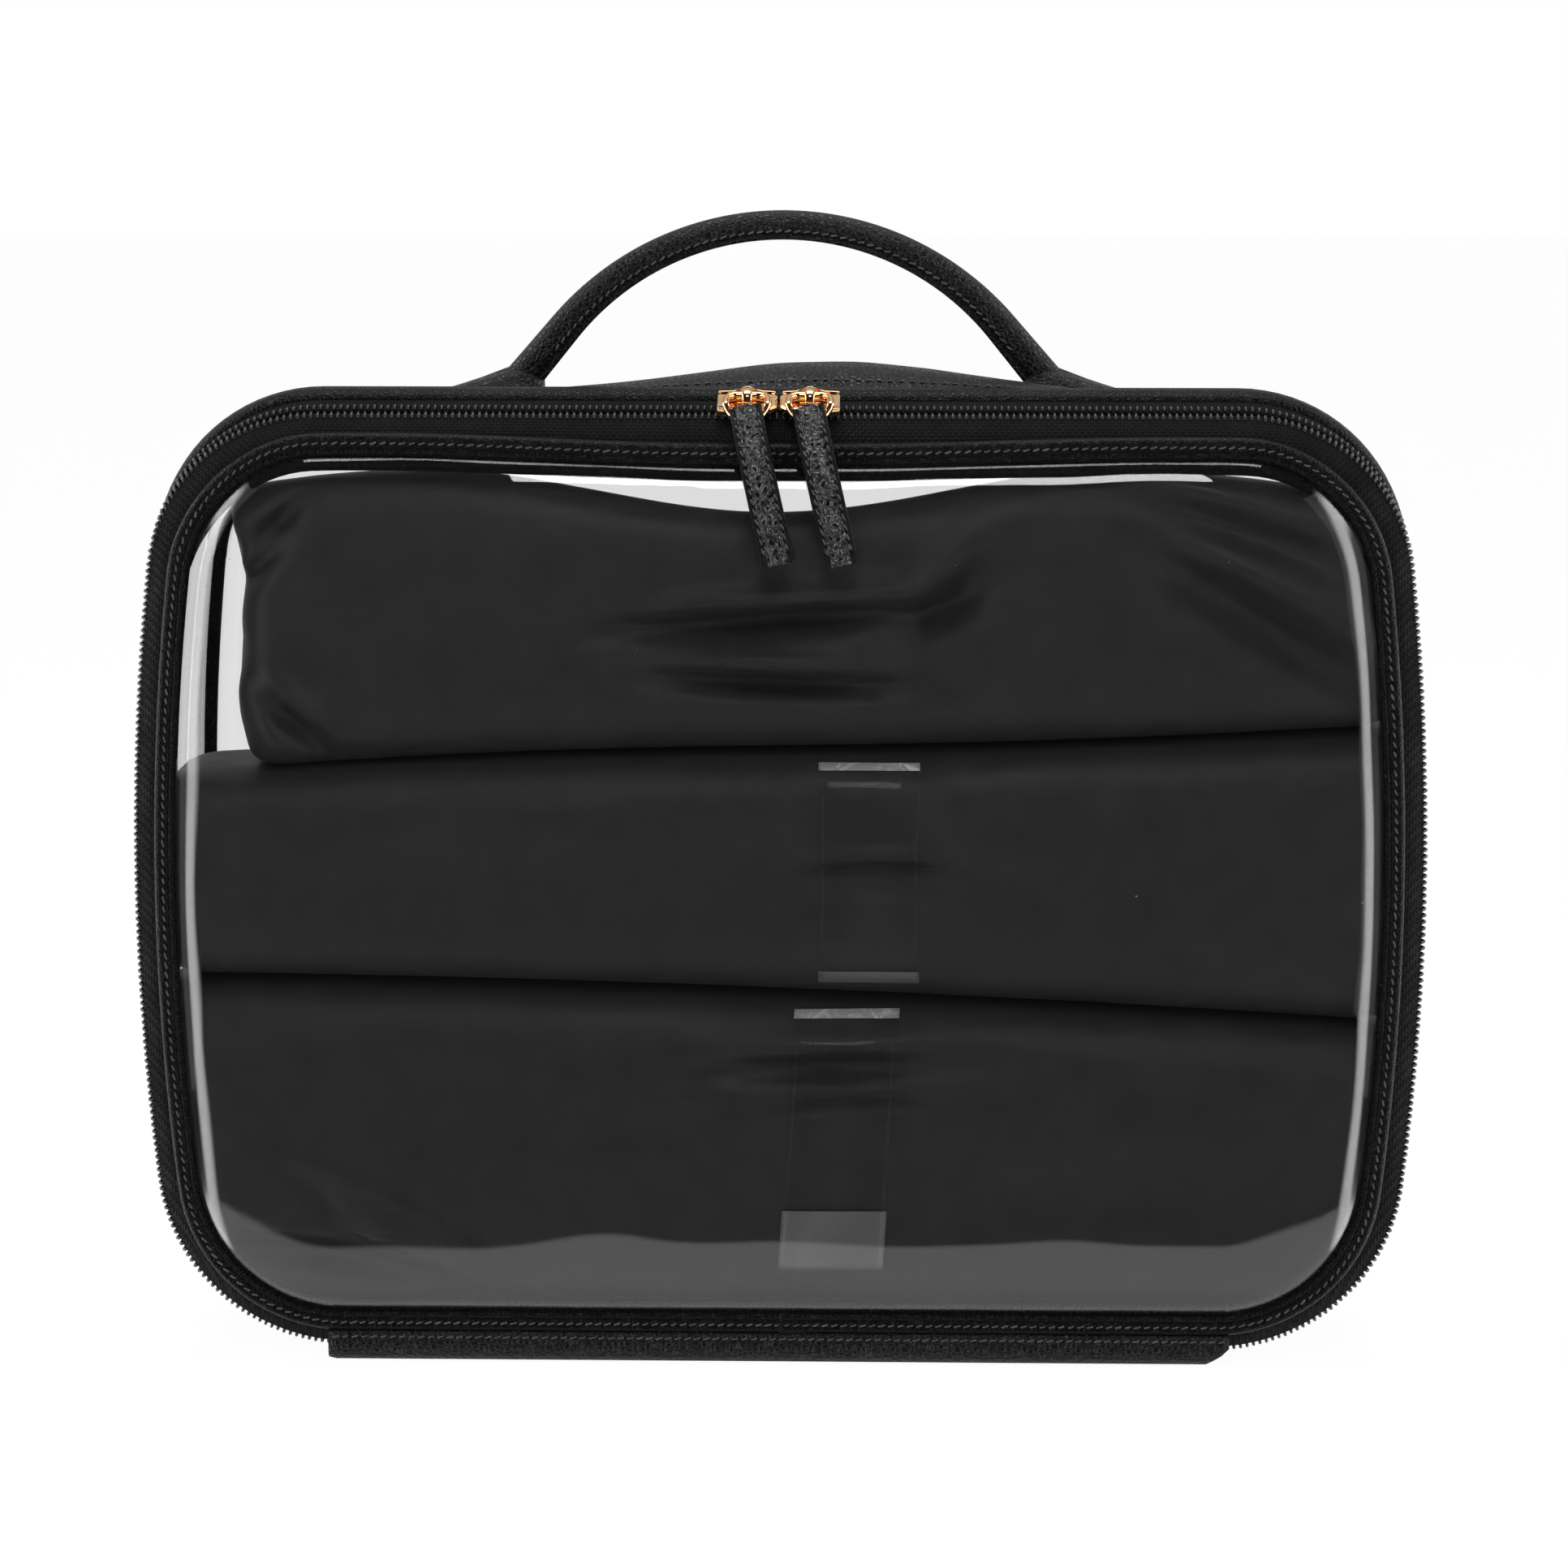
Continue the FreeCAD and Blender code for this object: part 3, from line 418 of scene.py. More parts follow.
def markedFinish(name, dark, light, roughLow, roughHigh, smears=300.0, specks=400.0, **constants):
    # Plastic or metal with smears
    material, tree, shader, place = newFinish(name, **constants)
    marks = useGroup(tree, handlingMarks, place, Smears=smears, Specks=specks)
    rough = rangeNode(tree, marks["Smear"], 0.0, 1.0, roughLow, roughHigh)
    linkInputs(tree, shader, {"Base Color": mixColour(tree, marks["Smear"], dark, light), "Roughness": rough})
    return material


def filmFinish(name, tint, roughLow, roughHigh, smears, bend=1.45):
    # Clear film that lets the lamps through
    material, tree, shader, place = newFinish(name, Transmission_Weight=1.0, IOR=bend)
    marks = useGroup(tree, handlingMarks, place, Smears=smears, Specks=110.0)
    colour = mixColour(tree, marks["Speck"], tint, (0.75,) * 3)
    haze = mathNode(tree, "ADD", mathNode(tree, "MULTIPLY", marks["Speck"], 0.4),
                    rangeNode(tree, marks["Smear"], 0.0, 1.0, roughLow, roughHigh))
    linkInputs(tree, shader, {"Base Color": colour, "Roughness": haze})
    clear = addNode(tree, "ShaderNodeBsdfTransparent", {"Color": (*tint, 1.0)})
    rays = addNode(tree, "ShaderNodeLightPath")
    both = mixShaders(tree, rays.outputs["Is Shadow Ray"], shader, clear)
    tree.links.new(both.outputs[0], tree.nodes["Material Output"].inputs["Surface"])
    return material


def milkyFinish():
    material, tree, shader, place = newFinish("milkyTape", Roughness=0.3)
    marks = useGroup(tree, handlingMarks, place, Smears=30.0, Specks=200.0)
    colour = mixColour(tree, marks["Smear"], (0.085,) * 3, (0.11,) * 3)
    linkInputs(tree, shader, {"Base Color": mixColour(tree, marks["Speck"], colour, (0.3,) * 3),
                              "Alpha": rangeNode(tree, marks["Smear"], 0.0, 1.0, 0.78, 0.86)})
    return material


finish = {
    "leather": leatherFinish("blackLeather", 900.0, 0.00014, (0.002,) * 3, (0.007,) * 3, 0.28, 0.5, 0.24),
    "tabLeather": leatherFinish("pebbledLeather", 700.0, 0.00026, (0.001,) * 3, (0.004,) * 3,
                                0.12, 0.34, 0.6),
    "binding": leatherFinish("bindingLeather", 1100.0, 0.00010, (0.001,) * 3, (0.005,) * 3,
                             0.25, 0.45, 0.12),
    "nylon": wovenFinish("blackNylon", 0.2, 2300.0, 2300.0, "Tone", (0.016, 0.016, 0.017),
                         (0.032, 0.032, 0.033), 0.42, 0.52, 0.00002, 0.5),
    # The zip tape is coloured by weave height: painted shade between the threads
    "zipTape": wovenFinish("wovenZipTape", 0.06, 1500.0, 900.0, "Height", (0.002,) * 3, (0.011,) * 3,
                           0.6, 0.75, 0.0002, 0.8),
    "coil": markedFinish("coilPlastic", (0.006,) * 3, (0.014,) * 3, 0.14, 0.24),
    "thread": markedFinish("blackThread", (0.05,) * 3, (0.11,) * 3, 0.4, 0.55),
    "board": markedFinish("innerBoard", (0.02,) * 3, (0.035,) * 3, 0.55, 0.7),
    "rawEdge": markedFinish("rawEdge", (0.10, 0.095, 0.09), (0.2, 0.19, 0.18), 0.6, 0.75),
    "gold": markedFinish("paleGold", (0.93, 0.58, 0.30), (0.88, 0.50, 0.24), 0.10, 0.2, 180.0, 900.0,
                         Metallic=1.0),
    "vinyl": filmFinish("clearVinyl", (0.97,) * 3, 0.0, 0.02, 14.0),
    "sideVinyl": filmFinish("sideVinyl", (0.80,) * 3, 0.0, 0.03, 20.0),
    "backVinyl": filmFinish("backVinyl", (0.86,) * 3, 0.0, 0.03, 20.0),
    "clearTape": filmFinish("clearTape", (0.95,) * 3, 0.0, 0.03, 40.0, 1.1),
    "milkyTape": milkyFinish(),
    # Pale finish for the top end of each tape strip: a painted highlight
    "paintedTapeGlint": markedFinish("paintedTapeGlint", (0.35,) * 3, (0.75,) * 3, 0.2, 0.3),
}
print("finishes made:", len(finish))


# Geometry Nodes: one small piece repeated along a line
def buildRepeat():
    tree = bpy.data.node_groups.new("repeatAlongLine", "GeometryNodeTree")
    given = {"Geometry": "NodeSocketGeometry", "Piece": "NodeSocketObject", "Pitch": "NodeSocketFloat",
             "Uneven": "NodeSocketVector", "Seed": "NodeSocketInt", "Finish": "NodeSocketMaterial"}
    names = {}
    for key, kind in given.items():
        names[key] = tree.interface.new_socket(key, in_out="INPUT", socket_type=kind).identifier
    tree.interface.new_socket("Geometry", in_out="OUTPUT", socket_type="NodeSocketGeometry")
    start = tree.nodes.new("NodeGroupInput").outputs
    line = addNode(tree, "GeometryNodeMeshToCurve", {"Mesh": start["Geometry"]})
    spaced = addNode(tree, "GeometryNodeResampleCurve",
                     {"Curve": line.outputs[0], "Length": start["Pitch"]}, mode="LENGTH")
    tangent = addNode(tree, "GeometryNodeInputTangent")
    upward = addNode(tree, "GeometryNodeInputNamedAttribute", {"Name": "up"}, data_type="FLOAT_VECTOR")
    along = addNode(tree, "FunctionNodeAlignRotationToVector", {"Vector": tangent.outputs[0]}, axis="X")
    turned = addNode(tree, "FunctionNodeAlignRotationToVector",
                     {"Rotation": along.outputs[0], "Vector": upward.outputs[0]}, axis="Z", pivot_axis="X")
    less = addNode(tree, "ShaderNodeVectorMath", {0: (1, 1, 1), 1: start["Uneven"]}, operation="SUBTRACT")
    more = addNode(tree, "ShaderNodeVectorMath", {0: (1, 1, 1), 1: start["Uneven"]})
    limits = {"Min": less.outputs[0], "Max": more.outputs[0], "Seed": start["Seed"]}
    size = addNode(tree, "FunctionNodeRandomValue", limits, data_type="FLOAT_VECTOR")
    shape = addNode(tree, "GeometryNodeObjectInfo", {"Object": start["Piece"]})
    placed = addNode(tree, "GeometryNodeInstanceOnPoints", {
        "Points": spaced.outputs[0], "Instance": shape.outputs["Geometry"],
        "Rotation": turned.outputs[0], "Scale": size.outputs[0]})
    solid = addNode(tree, "GeometryNodeRealizeInstances", {0: placed.outputs[0]})
    dressed = addNode(tree, "GeometryNodeSetMaterial",
                      {"Geometry": solid.outputs[0], "Material": start["Finish"]})
    addNode(tree, "NodeGroupOutput", {"Geometry": dressed.outputs[0]})
    return tree, names


repeatTree, repeatNames = buildRepeat()


def repeatAlong(name, lines, shape, pitch, material, uneven=(0.0, 0.0, 0.0), seed=1):
    # lines are lists of (point, up) in millimetres; shape is the small piece to repeat
    points, ups, edges = [], [], []
    for line in lines:
        first = len(points)
        points += [Vector(p) * 0.001 for p, up in line]
        ups += [component for p, up in line for component in up]
        edges += [(n, n + 1) for n in range(first, len(points) - 1)]
    mesh = bpy.data.meshes.new(name)
    mesh.from_pydata(points, edges, [])
    mesh.attributes.new("up", "FLOAT_VECTOR", "POINT").data.foreach_set("vector", ups)
    piece = addObject(name, mesh)
    modifier = piece.modifiers.new("repeat", "NODES")
    modifier.node_group = repeatTree
    settings = {"Piece": shape, "Pitch": pitch * 0.001, "Uneven": uneven, "Seed": seed, "Finish": material}
    for key, value in settings.items():
        modifier[repeatNames[key]] = value
    applyModifiers(piece)
    setSmooth(piece.data)
    if "up" in piece.data.attributes:
        piece.data.attributes.remove(piece.data.attributes["up"])
    return piece


def tubeShape(name, stations, sides, material):
    # A small round-sectioned piece through stations of (x, y, z, radius along x, radius along z)
    points = []
    for x, y, z, wide, tall in stations:
        for n in range(sides):
            a = math.tau * n / sides
            points.append((x + wide * math.cos(a), y, z + tall * math.sin(a)))
    return tubePiece(name, points, sides, material)


# Clear films: window, gusset and back
filmSize = {
    "gauge": 0.5,
    "rim": [(2.6, 1.6), (4.0, 1.25), (4.8, 0.2), (5.8, -0.9), (7.0, -1.75), (9.0, -2.6), (11.5, -3.25),
            (14.5, -3.8), (18.0, -4.25), (22.0, -4.5)],     # inset from the seam, depth
    "innerRings": 34,
    "ripple": 0.5,          # waviness of the crowned shoulder
    "swell": 0.45,          # waviness of the flat
    "dent": (104.0, 60.0, 2.4),     # a bulge low on the right: x, z, height
    "dentSpread": (9.0, 13.0),
    "rippleLength": 22.0,
    "swellLength": 48.0,
    "calm": (60.0, 150.0, 30.0),    # the flat is still within this x above this level, over this range
}


def ripples(p, length, seed):
    return noise.noise(Vector((p.x / length, seed, p.z / length)))


def filmPiece(name, points, count, gauge, material):
    # A film through rings of count points each, with a last point in the middle
    faces = loftFaces(len(points) // count, count, True, False) + fanFaces(len(points) - 1, count)
    film = newPiece(name, points, faces, material)
    return useModifier(film, "SOLIDIFY", thickness=gauge * 0.001, offset=0.0)


def windowFilm():
    rings = []
    for inset, depth in filmSize["rim"]:
        share = min(1.0, max(0.0, (inset - 4.0) / 6.0))
        ring = []
        for x, z in caseOutline(-inset):
            p = Vector((x, case["front"] + depth, z))
            p.y += share * filmSize["ripple"] * ripples(p, filmSize["rippleLength"], 3.0)
            ring.append(p)
        rings.append(ring)
    inset, depth = filmSize["rim"][-1]
    level = case["front"] + depth
    middle = case["middle"]
    edge = caseOutline(-inset)
    dentX, dentZ, dentHeight = filmSize["dent"]
    wide, tall = filmSize["dentSpread"]
    calmX, calmZ, calmRange = filmSize["calm"]
    for n in range(1, filmSize["innerRings"]):
        share = n / filmSize["innerRings"]
        ring = []
        for x, z in edge:
            p = Vector((x * (1 - share), level, middle + (z - middle) * (1 - share)))
            calm = min(1.0, abs(p.x) / calmX + max(0.0, calmZ - p.z) / calmRange)
            p.y += filmSize["ripple"] * (1 - share) ** 3 * ripples(p, filmSize["rippleLength"], 3.0)
            swell = calm * filmSize["swell"] * min(1.0, share * 4)
            p.y += swell * ripples(p, filmSize["swellLength"], 8.0)
            across, down = (p.x - dentX) / wide, (p.z - dentZ) / tall
            p.y -= dentHeight * math.exp(-across * across - down * down) * min(1.0, share * 8)
            ring.append(p)
        rings.append(ring)
    points = [bowed(p) for ring in rings for p in ring] + [Vector((0.0, level, middle))]
    film = filmPiece("windowFilm", points, len(edge), filmSize["gauge"], finish["vinyl"])
    return mountPiece(film, "lid", "clear_vinyl", "front_window")


gussetSize = {
    "front": (3.9, 8.6, 1.3),       # stand-off at the sides and on top, level of the bottom
    "back": (2.0, -3.2, 1.3),
    "gauge": 0.6,
    "rings": 14,
    "sag": 0.9,
    "bulge": 5.0,           # the top left corner is pushed out
    "bulgeX": (82.0, 94.0),
    "bulgeZ": (160.0, 178.0),
    "sagAbove": 20.0,       # the film lies flat below this level
}


def gussetFilm():
    y0, y1 = depthOf("side_gusset", 0), depthOf("side_gusset", 1)
    outer, inner = [], []
    for n in range(gussetSize["rings"] + 1):
        t = n / gussetSize["rings"]
        shape = tuple(a + (b - a) * t for a, b in zip(gussetSize["front"], gussetSize["back"]))
        outer.append((y0 + (y1 - y0) * t, *shape))
        inner.append((y0 + (y1 - y0) * t, *shrunk(shape, gussetSize["gauge"])))

    def sag(p):
        t = (p.y - case["front"] - y0) / (y1 - y0)
        free = math.sin(math.pi * min(1.0, max(0.0, t)))
        wave = noise.noise(Vector((p.x / 30.0, p.y / 34.0, p.z / 30.0)))
        above = 1.0 if p.z > gussetSize["sagAbove"] else 0.0
        toMiddle = Vector((-p.x, 0.0, case["middle"] - p.z)).normalized()
        corner = smoothShare(-p.x, *gussetSize["bulgeX"]) * smoothShare(p.z, *gussetSize["bulgeZ"])
        inward = gussetSize["sag"] * above * (0.5 + wave) - gussetSize["bulge"] * corner
        return p + toMiddle * free * inward

    film = bandPiece("gussetFilm", outer + inner[::-1], finish["sideVinyl"], wave=sag)
    return mountPiece(film, "base", "clear_vinyl", "side_gusset")


backSize = {"shape": (2.8, -2.4, 0.0), "hidden": 1.2, "gauge": 0.6, "rings": 12, "swell": 0.4}


def backFilm():
    level = case["front"] + depthOf("back_panel", 0) + backSize["gauge"] / 2
    edge = caseOutline(*shrunk(backSize["shape"], backSize["hidden"]))
    middle = case["middle"]
    points = []
    for n in range(backSize["rings"]):
        share = 1 - n / backSize["rings"]
        for x, z in edge:
            p = Vector((x * share, level, middle + (z - middle) * share))
            p.y += backSize["swell"] * min(1, n) * ripples(p, 40.0, 21.0)
            points.append(p)
    points.append(Vector((0.0, level, middle)))
    film = filmPiece("backFilm", points, len(edge), backSize["gauge"], finish["backVinyl"])
    return mountPiece(film, "base", "clear_vinyl", "back_panel")


windowFilm()
gussetFilm()
backFilm()
print("films made")


# Leather bindings round the front and the back, with their stitches
bindingSize = {
    # depth and inset of the folded strip: rounded outer edge, stitched face, valley, smooth inner lip
    "profile": [(4.0, 0.1), (2.4, -0.1), (0.9, 0.0), (0.15, 0.35), (-0.2, 0.9), (-0.15, 1.35), (0.1, 1.7),
                (0.1, 2.0), (-0.1, 2.3), (0.05, 2.6), (0.4, 2.8), (0.1, 3.1), (0.0, 3.6), (0.2, 4.1),
                (0.8, 4.5), (1.3, 4.3), (2.2, 4.0), (4.0, 3.5)],
    "stitchInset": 1.85,
    "stitchDepth": 0.02,
    "stitchPitch": 1.95,
}
stitch = tubeShape("stitchShape", [(0, -0.75, -0.25, 0.10, 0.10), (0, -0.6, 0.02, 0.2, 0.16),
                                   (0, 0.0, 0.08, 0.24, 0.18), (0, 0.6, 0.02, 0.2, 0.16),
                                   (0, 0.75, -0.25, 0.10, 0.10)], 6, finish["thread"])
stitch.data.transform(Matrix.Rotation(-math.pi / 2 + 0.3, 4, "Z"))     # a little askew to the seam


def stitchRow(name, lines, pitch, body, seed, uneven=(0.12, 0.1, 0.15)):
    row = repeatAlong(name, lines, stitch, pitch, finish["thread"], uneven, seed)
    return mountPiece(row, body, "black_leather")


def bindingPiece(name, depth, shape, front, body, node):
    # front is 1 for a binding that faces forwards and -1 for one that faces back
    profile = [(depth + front * d, *shrunk(shape, inset)) for d, inset in bindingSize["profile"]]
    piece = bandPiece(name, profile, finish["binding"], wave=bowed)
    mountPiece(piece, body, "black_leather", node)
    y = case["front"] + depth + front * bindingSize["stitchDepth"]
    path = caseOutline(*shrunk(shape, bindingSize["stitchInset"]))
    line = [(bowed((x, y, z)), (0, -front, 0)) for x, z in path + path[:1]]
    return stitchRow(name + "Stitches", [line], bindingSize["stitchPitch"], body, 5)


lapSize = {"start": 0.2, "end": 10.0, "rise": 0.32, "sunk": 0.06, "steps": 10}


def bindingLap():
    # Where the two ends of the front binding meet, one overlaps the other at the bottom middle
    profile = bindingSize["profile"][1:15]
    points = []
    for n in range(lapSize["steps"] + 1):
        t = n / lapSize["steps"]
        x = lapSize["start"] + (lapSize["end"] - lapSize["start"]) * t
        rise = lapSize["rise"] * (1 - t) ** 0.7 - lapSize["sunk"]
        for depth, inset in profile:
            z = case["bottom"] + inset - (rise if inset < 1 else -rise if inset > 4 else 0)
            points.append((x, case["front"] + depth - (rise if depth < 1.2 else 0), z))
    piece = tubePiece("bindingLap", points, len(profile), finish["binding"])
    piece.data.materials.append(finish["rawEdge"])
    for face in piece.data.polygons:
        if face.normal.x < -0.9:
            face.material_index = 1
            face.use_smooth = False
    return mountPiece(piece, "lid", "black_leather")


# Seam allowance of the zip tape, seen through the film inside the binding: depth, side, top, bottom
flangeSize = {"edge": (2.0, -2.5, -2.5, 2.5), "inner": (2.0, -4.2, -7.6, 6.2), "gauge": 0.5}


def seamFlange():
    profile = []
    for depth, side, top, low in (flangeSize["edge"], flangeSize["inner"]):
        profile.append((depth, side, top, case["bottom"] + low))
    behind = [(depth + flangeSize["gauge"], *shape) for depth, *shape in profile[::-1]]
    flange = bandPiece("seamFlange", profile + behind, finish["zipTape"], wave=bowed)
    return mountPiece(flange, "lid", "zip_tape")


bindingPiece("frontBinding", 0.0, (0.0, 0.0, case["bottom"]), 1, "lid", "front_binding")
bindingPiece("backBinding", depthOf("back_binding", 1), (2.7, -2.5, 0.1), -1, "base", "back_binding")
bindingLap()
seamFlange()
print("bindings made")

# Zip: two woven tapes, two rows of coil teeth and the leather strip behind
zipSize = {
    "tape": 0.6,
    # depth, stand-off at the sides and on top
    "frontTape": [(3.6, (-1.0, -1.0)), (5.0, (1.6, 1.6)), (7.05, (4.2, 4.2)), (8.3, (4.5, 4.7)),
                  (9.4, (4.7, 5.1))],
    "rearTape": [(10.6, (4.7, 5.5)), (11.7, (4.5, 5.9)), (12.95, (4.2, 6.4)), (16.0, (4.05, 7.5)),
                 (19.3, (3.9, 8.5))],
    "chain": 10.0,
    "pitch": 1.36,
    "tooth": [(1.45, -0.3, 0.28, 0.2), (1.2, 0.15, 0.34, 0.32), (0.6, 0.45, 0.34, 0.36),
              (-0.2, 0.58, 0.33, 0.36), (-0.9, 0.5, 0.31, 0.36), (-1.25, 0.25, 0.28, 0.32),
              (-1.42, -0.05, 0.16, 0.2)],
    "toothReach": 1.55,     # from the middle of a tooth to the middle of the chain
    "strip": [(15.4, (4.35, 7.55)), (16.0, (5.0, 8.4)), (17.6, (5.1, 9.3)), (19.2, (5.0, 9.75)),
              (19.6, (4.4, 9.4))],
    "stripGauge": 1.0,
}


def stripProfile(stations, gauge):
    outer, inner = [], []
    for depth, (side, top) in stations:
        shape = (side, top, case["bottom"] - side)
        outer.append((depth, *shape))
        inner.append((depth, *shrunk(shape, gauge)))
    return outer + inner[::-1]


def chainLine(depth, side, top, shift):
    # Points along the zip with the outward direction, started a part of a pitch later
    path = openOutline(side, top)
    line = []
    for n, (x, z) in enumerate(path):
        x0, z0 = path[max(0, n - 1)]
        x1, z1 = path[min(len(path) - 1, n + 1)]
        up = Vector((z1 - z0, 0.0, x0 - x1)).normalized()
        line.append((Vector((x, case["front"] + depth, z)), up))
    first, second = line[0][0], line[1][0]
    line[0] = (first + (second - first).normalized() * shift, line[0][1])
    return line


def zipHalf(name, stations, facing, body, tapeNode, coilNode):
    profile = stripProfile(stations, zipSize["tape"])
    tape = bandPiece(name + "Tape", profile, finish["zipTape"], openBelow=True, wave=bowed)
    mountPiece(tape, body, "zip_tape", tapeNode)
    shape = [(0, y * facing, z, wide, tall) for y, z, wide, tall in zipSize["tooth"]]
    tooth = tubeShape(name + "ToothShape", shape, 6, finish["coil"])
    depth = zipSize["chain"] - facing * zipSize["toothReach"]
    side, top = stations[3 if facing > 0 else 1][1]
    shift = zipSize["pitch"] * (0.5 if facing > 0 else 0.0)
    line = chainLine(depth, side, top, shift)
    coil = repeatAlong(name + "Coil", [line], tooth, zipSize["pitch"], finish["coil"], (0.03, 0.03, 0.06), 7)
    mountPiece(coil, body, "zip_coil", coilNode)
    bpy.data.objects.remove(tooth)


zipHalf("frontZip", zipSize["frontTape"], 1, "lid", "front_zip_tape", "front_zip_coil")
zipHalf("rearZip", zipSize["rearTape"], -1, "base", "rear_zip_tape", "rear_zip_coil")
stripShape = stripProfile(zipSize["strip"], zipSize["stripGauge"])
rearStrip = bandPiece("rearZipStrip", stripShape, finish["binding"], openBelow=True)
mountPiece(rearStrip, "base", "black_leather", "rear_zip_binding")
print("zip made")


# Leather hinge: one strip from under the gusset, round the fold and up to the front binding
hingeSize = {
    "half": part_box("hinge_strip")[1].x * 1000,
    # depth and height of the middle of the leather, from the inner end to the sewn edge
    "line": [(27.0, 0.6), (14.0, 0.6), (5.0, 0.6), (2.4, 0.65), (1.2, 1.0), (0.55, 1.9), (0.35, 3.0),
             (0.45, 4.2), (0.8, 5.0), (0.95, 5.5), (0.8, 6.0), (1.0, 6.7)],
    "gauge": 1.1,
    "columns": 120,
    "puff": 0.2,
    "taper": 7.0,           # the right end is cut at a slant
    "leftTaper": 2.0,
    "lifts": (4.2, 0.9),    # how far the ends are cut, right and left
    "stitchHeight": 5.45,
    "stitchDepth": 0.36,
    "stitchEnd": 1.5,
}


def stripAlong(line, gauge):
    # Outer and inner lines of a strip, half its gauge to either side
    outer, inner = [], []
    for n, (a, b) in enumerate(line):
        a0, b0 = line[max(0, n - 1)]
        a1, b1 = line[min(len(line) - 1, n + 1)]
        normal = Vector((b1 - b0, a0 - a1)).normalized() * gauge / 2
        outer.append((a - normal.x, b - normal.y))
        inner.append((a + normal.x, b + normal.y))
    return outer + inner[::-1]


def hingeLeather():
    section = stripAlong(hingeSize["line"], hingeSize["gauge"])
    points = []
    for n in range(hingeSize["columns"] + 1):
        x = hingeSize["half"] * (2 * n / hingeSize["columns"] - 1)
        for depth, z in section:
            puff = hingeSize["puff"] * noise.noise(Vector((x / 9.0, 4.0, z / 9.0))) if z > 1.4 else 0.0
            lift = 0.0
            if depth < 6.0:
                right = max(0.0, (x - hingeSize["half"]) / hingeSize["taper"] + 1)
                left = max(0.0, (-x - hingeSize["half"]) / hingeSize["leftTaper"] + 1)
                lift = hingeSize["lifts"][0] * right ** 2 + hingeSize["lifts"][1] * left ** 2
            points.append((x, case["front"] + depth + puff, max(0.02, lift, z)))
    piece = tubePiece("hingeLeather", points, len(section), finish["leather"])
    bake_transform(piece)
    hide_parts("hinge_strip", "hinge_flap")
    y = case["front"] + hingeSize["stitchDepth"]
    edge = hingeSize["half"] - hingeSize["stitchEnd"]
    line = [((x, y, hingeSize["stitchHeight"]), (0, -1, 0)) for x in (-edge, edge)]
    stitchRow("hingeStitches", [line], bindingSize["stitchPitch"], "lid", 9)


hingeLeather()

# Handle patch, anchors and the rolled handle on the sloping top
patchBox = [corner * 1000 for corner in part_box("handle_patch")]
topSlope = math.radians(11.0)
topAxes = {
    "across": Vector((0.0, math.cos(topSlope), -math.sin(topSlope))),
    "up": Vector((0.0, math.sin(topSlope), math.cos(topSlope))),
    "origin": Vector((0.0, case["front"] + 48.0, 193.77)),
}
patchSize = {
    "half": patchBox[1].x,
    "width": 46.0,
    "corner": 9.0,
    "thick": 1.3,
    "crown": 7.0,           # soft hump under the handle
    "humpAt": 10.0,
    "humpReach": 40.0,
    "shares": [1.0, 0.985, 0.96, 0.93, 0.9, 0.86, 0.8, 0.7, 0.56, 0.4, 0.22],      # rings towards the middle
    "spacing": 3.0,
    "stitchInset": 2.4,
    "stitchPitch": 2.2,
}


def onTop(x, v, w):
    return topAxes["origin"] + Vector((x, 0.0, 0.0)) + topAxes["across"] * v + topAxes["up"] * w


def patchHeight(x, v):
    hump = math.exp(-((x - patchSize["humpAt"]) / patchSize["humpReach"]) ** 2)
    edge = 1 - (abs(v) / (patchSize["width"] / 2)) ** 4
    ends = 1 - (abs(x) / patchSize["half"]) ** 8
    soft = noise.noise(Vector((x / 14.0, v / 10.0, 2.0))) * 0.25
    return 0.5 + max(0.0, edge * ends) * (patchSize["thick"] + patchSize["crown"] * hump + soft)


def roundedRect(half, wide, corner, inset, steps=8):
    # Loop of (x, v) with rounded corners
    a, b, r = half - inset, wide - inset, corner - inset
    loop = []
    for x, v, start in ((a - r, -b + r, 3), (a - r, b - r, 0), (-a + r, b - r, 1), (-a + r, -b + r, 2)):
        turns = [(start + n / steps) * math.pi / 2 for n in range(steps + 1)]
        loop += [(x + r * math.cos(t), v + r * math.sin(t)) for t in turns]
    return loop


def evenLoop(loop, pitch):
    # The loop resampled at about one pitch
    even = []
    for (x0, v0), (x1, v1) in zip(loop, loop[1:] + loop[:1]):
        parts = max(1, round(math.hypot(x1 - x0, v1 - v0) / pitch))
        even += [(x0 + (x1 - x0) * n / parts, v0 + (v1 - v0) * n / parts) for n in range(parts)]
    return even


def handlePatch():
    shape = (patchSize["half"], patchSize["width"] / 2, patchSize["corner"])
    loop = evenLoop(roundedRect(*shape, 0.0), patchSize["spacing"])
    points = [onTop(x, v, 0.12) for x, v in loop]
    for share in patchSize["shares"]:
        for x, v in loop:
            flat = (x * (1 - (1 - share) * 0.4) if share > 0.8 else x * share * 1.15, v * share)
            points.append(onTop(*flat, patchHeight(*flat)))
    faces = loftFaces(len(patchSize["shares"]) + 1, len(loop), True, False)
    faces.append(tuple(range(len(loop)))[::-1])
    points.append(onTop(0, 0, patchHeight(0, 0)))
    faces += fanFaces(len(points) - 1, len(loop))
    piece = newPiece("handlePatch", points, faces, finish["leather"])
    mountPiece(piece, "base", "black_leather", "handle_patch")
    seam = evenLoop(roundedRect(*shape, patchSize["stitchInset"]), patchSize["spacing"])
    line = [(onTop(x, v, patchHeight(x, v) + 0.05), topAxes["up"]) for x, v in seam + seam[:1]]
    stitchRow("patchStitches", [line], patchSize["stitchPitch"], "base", 11)


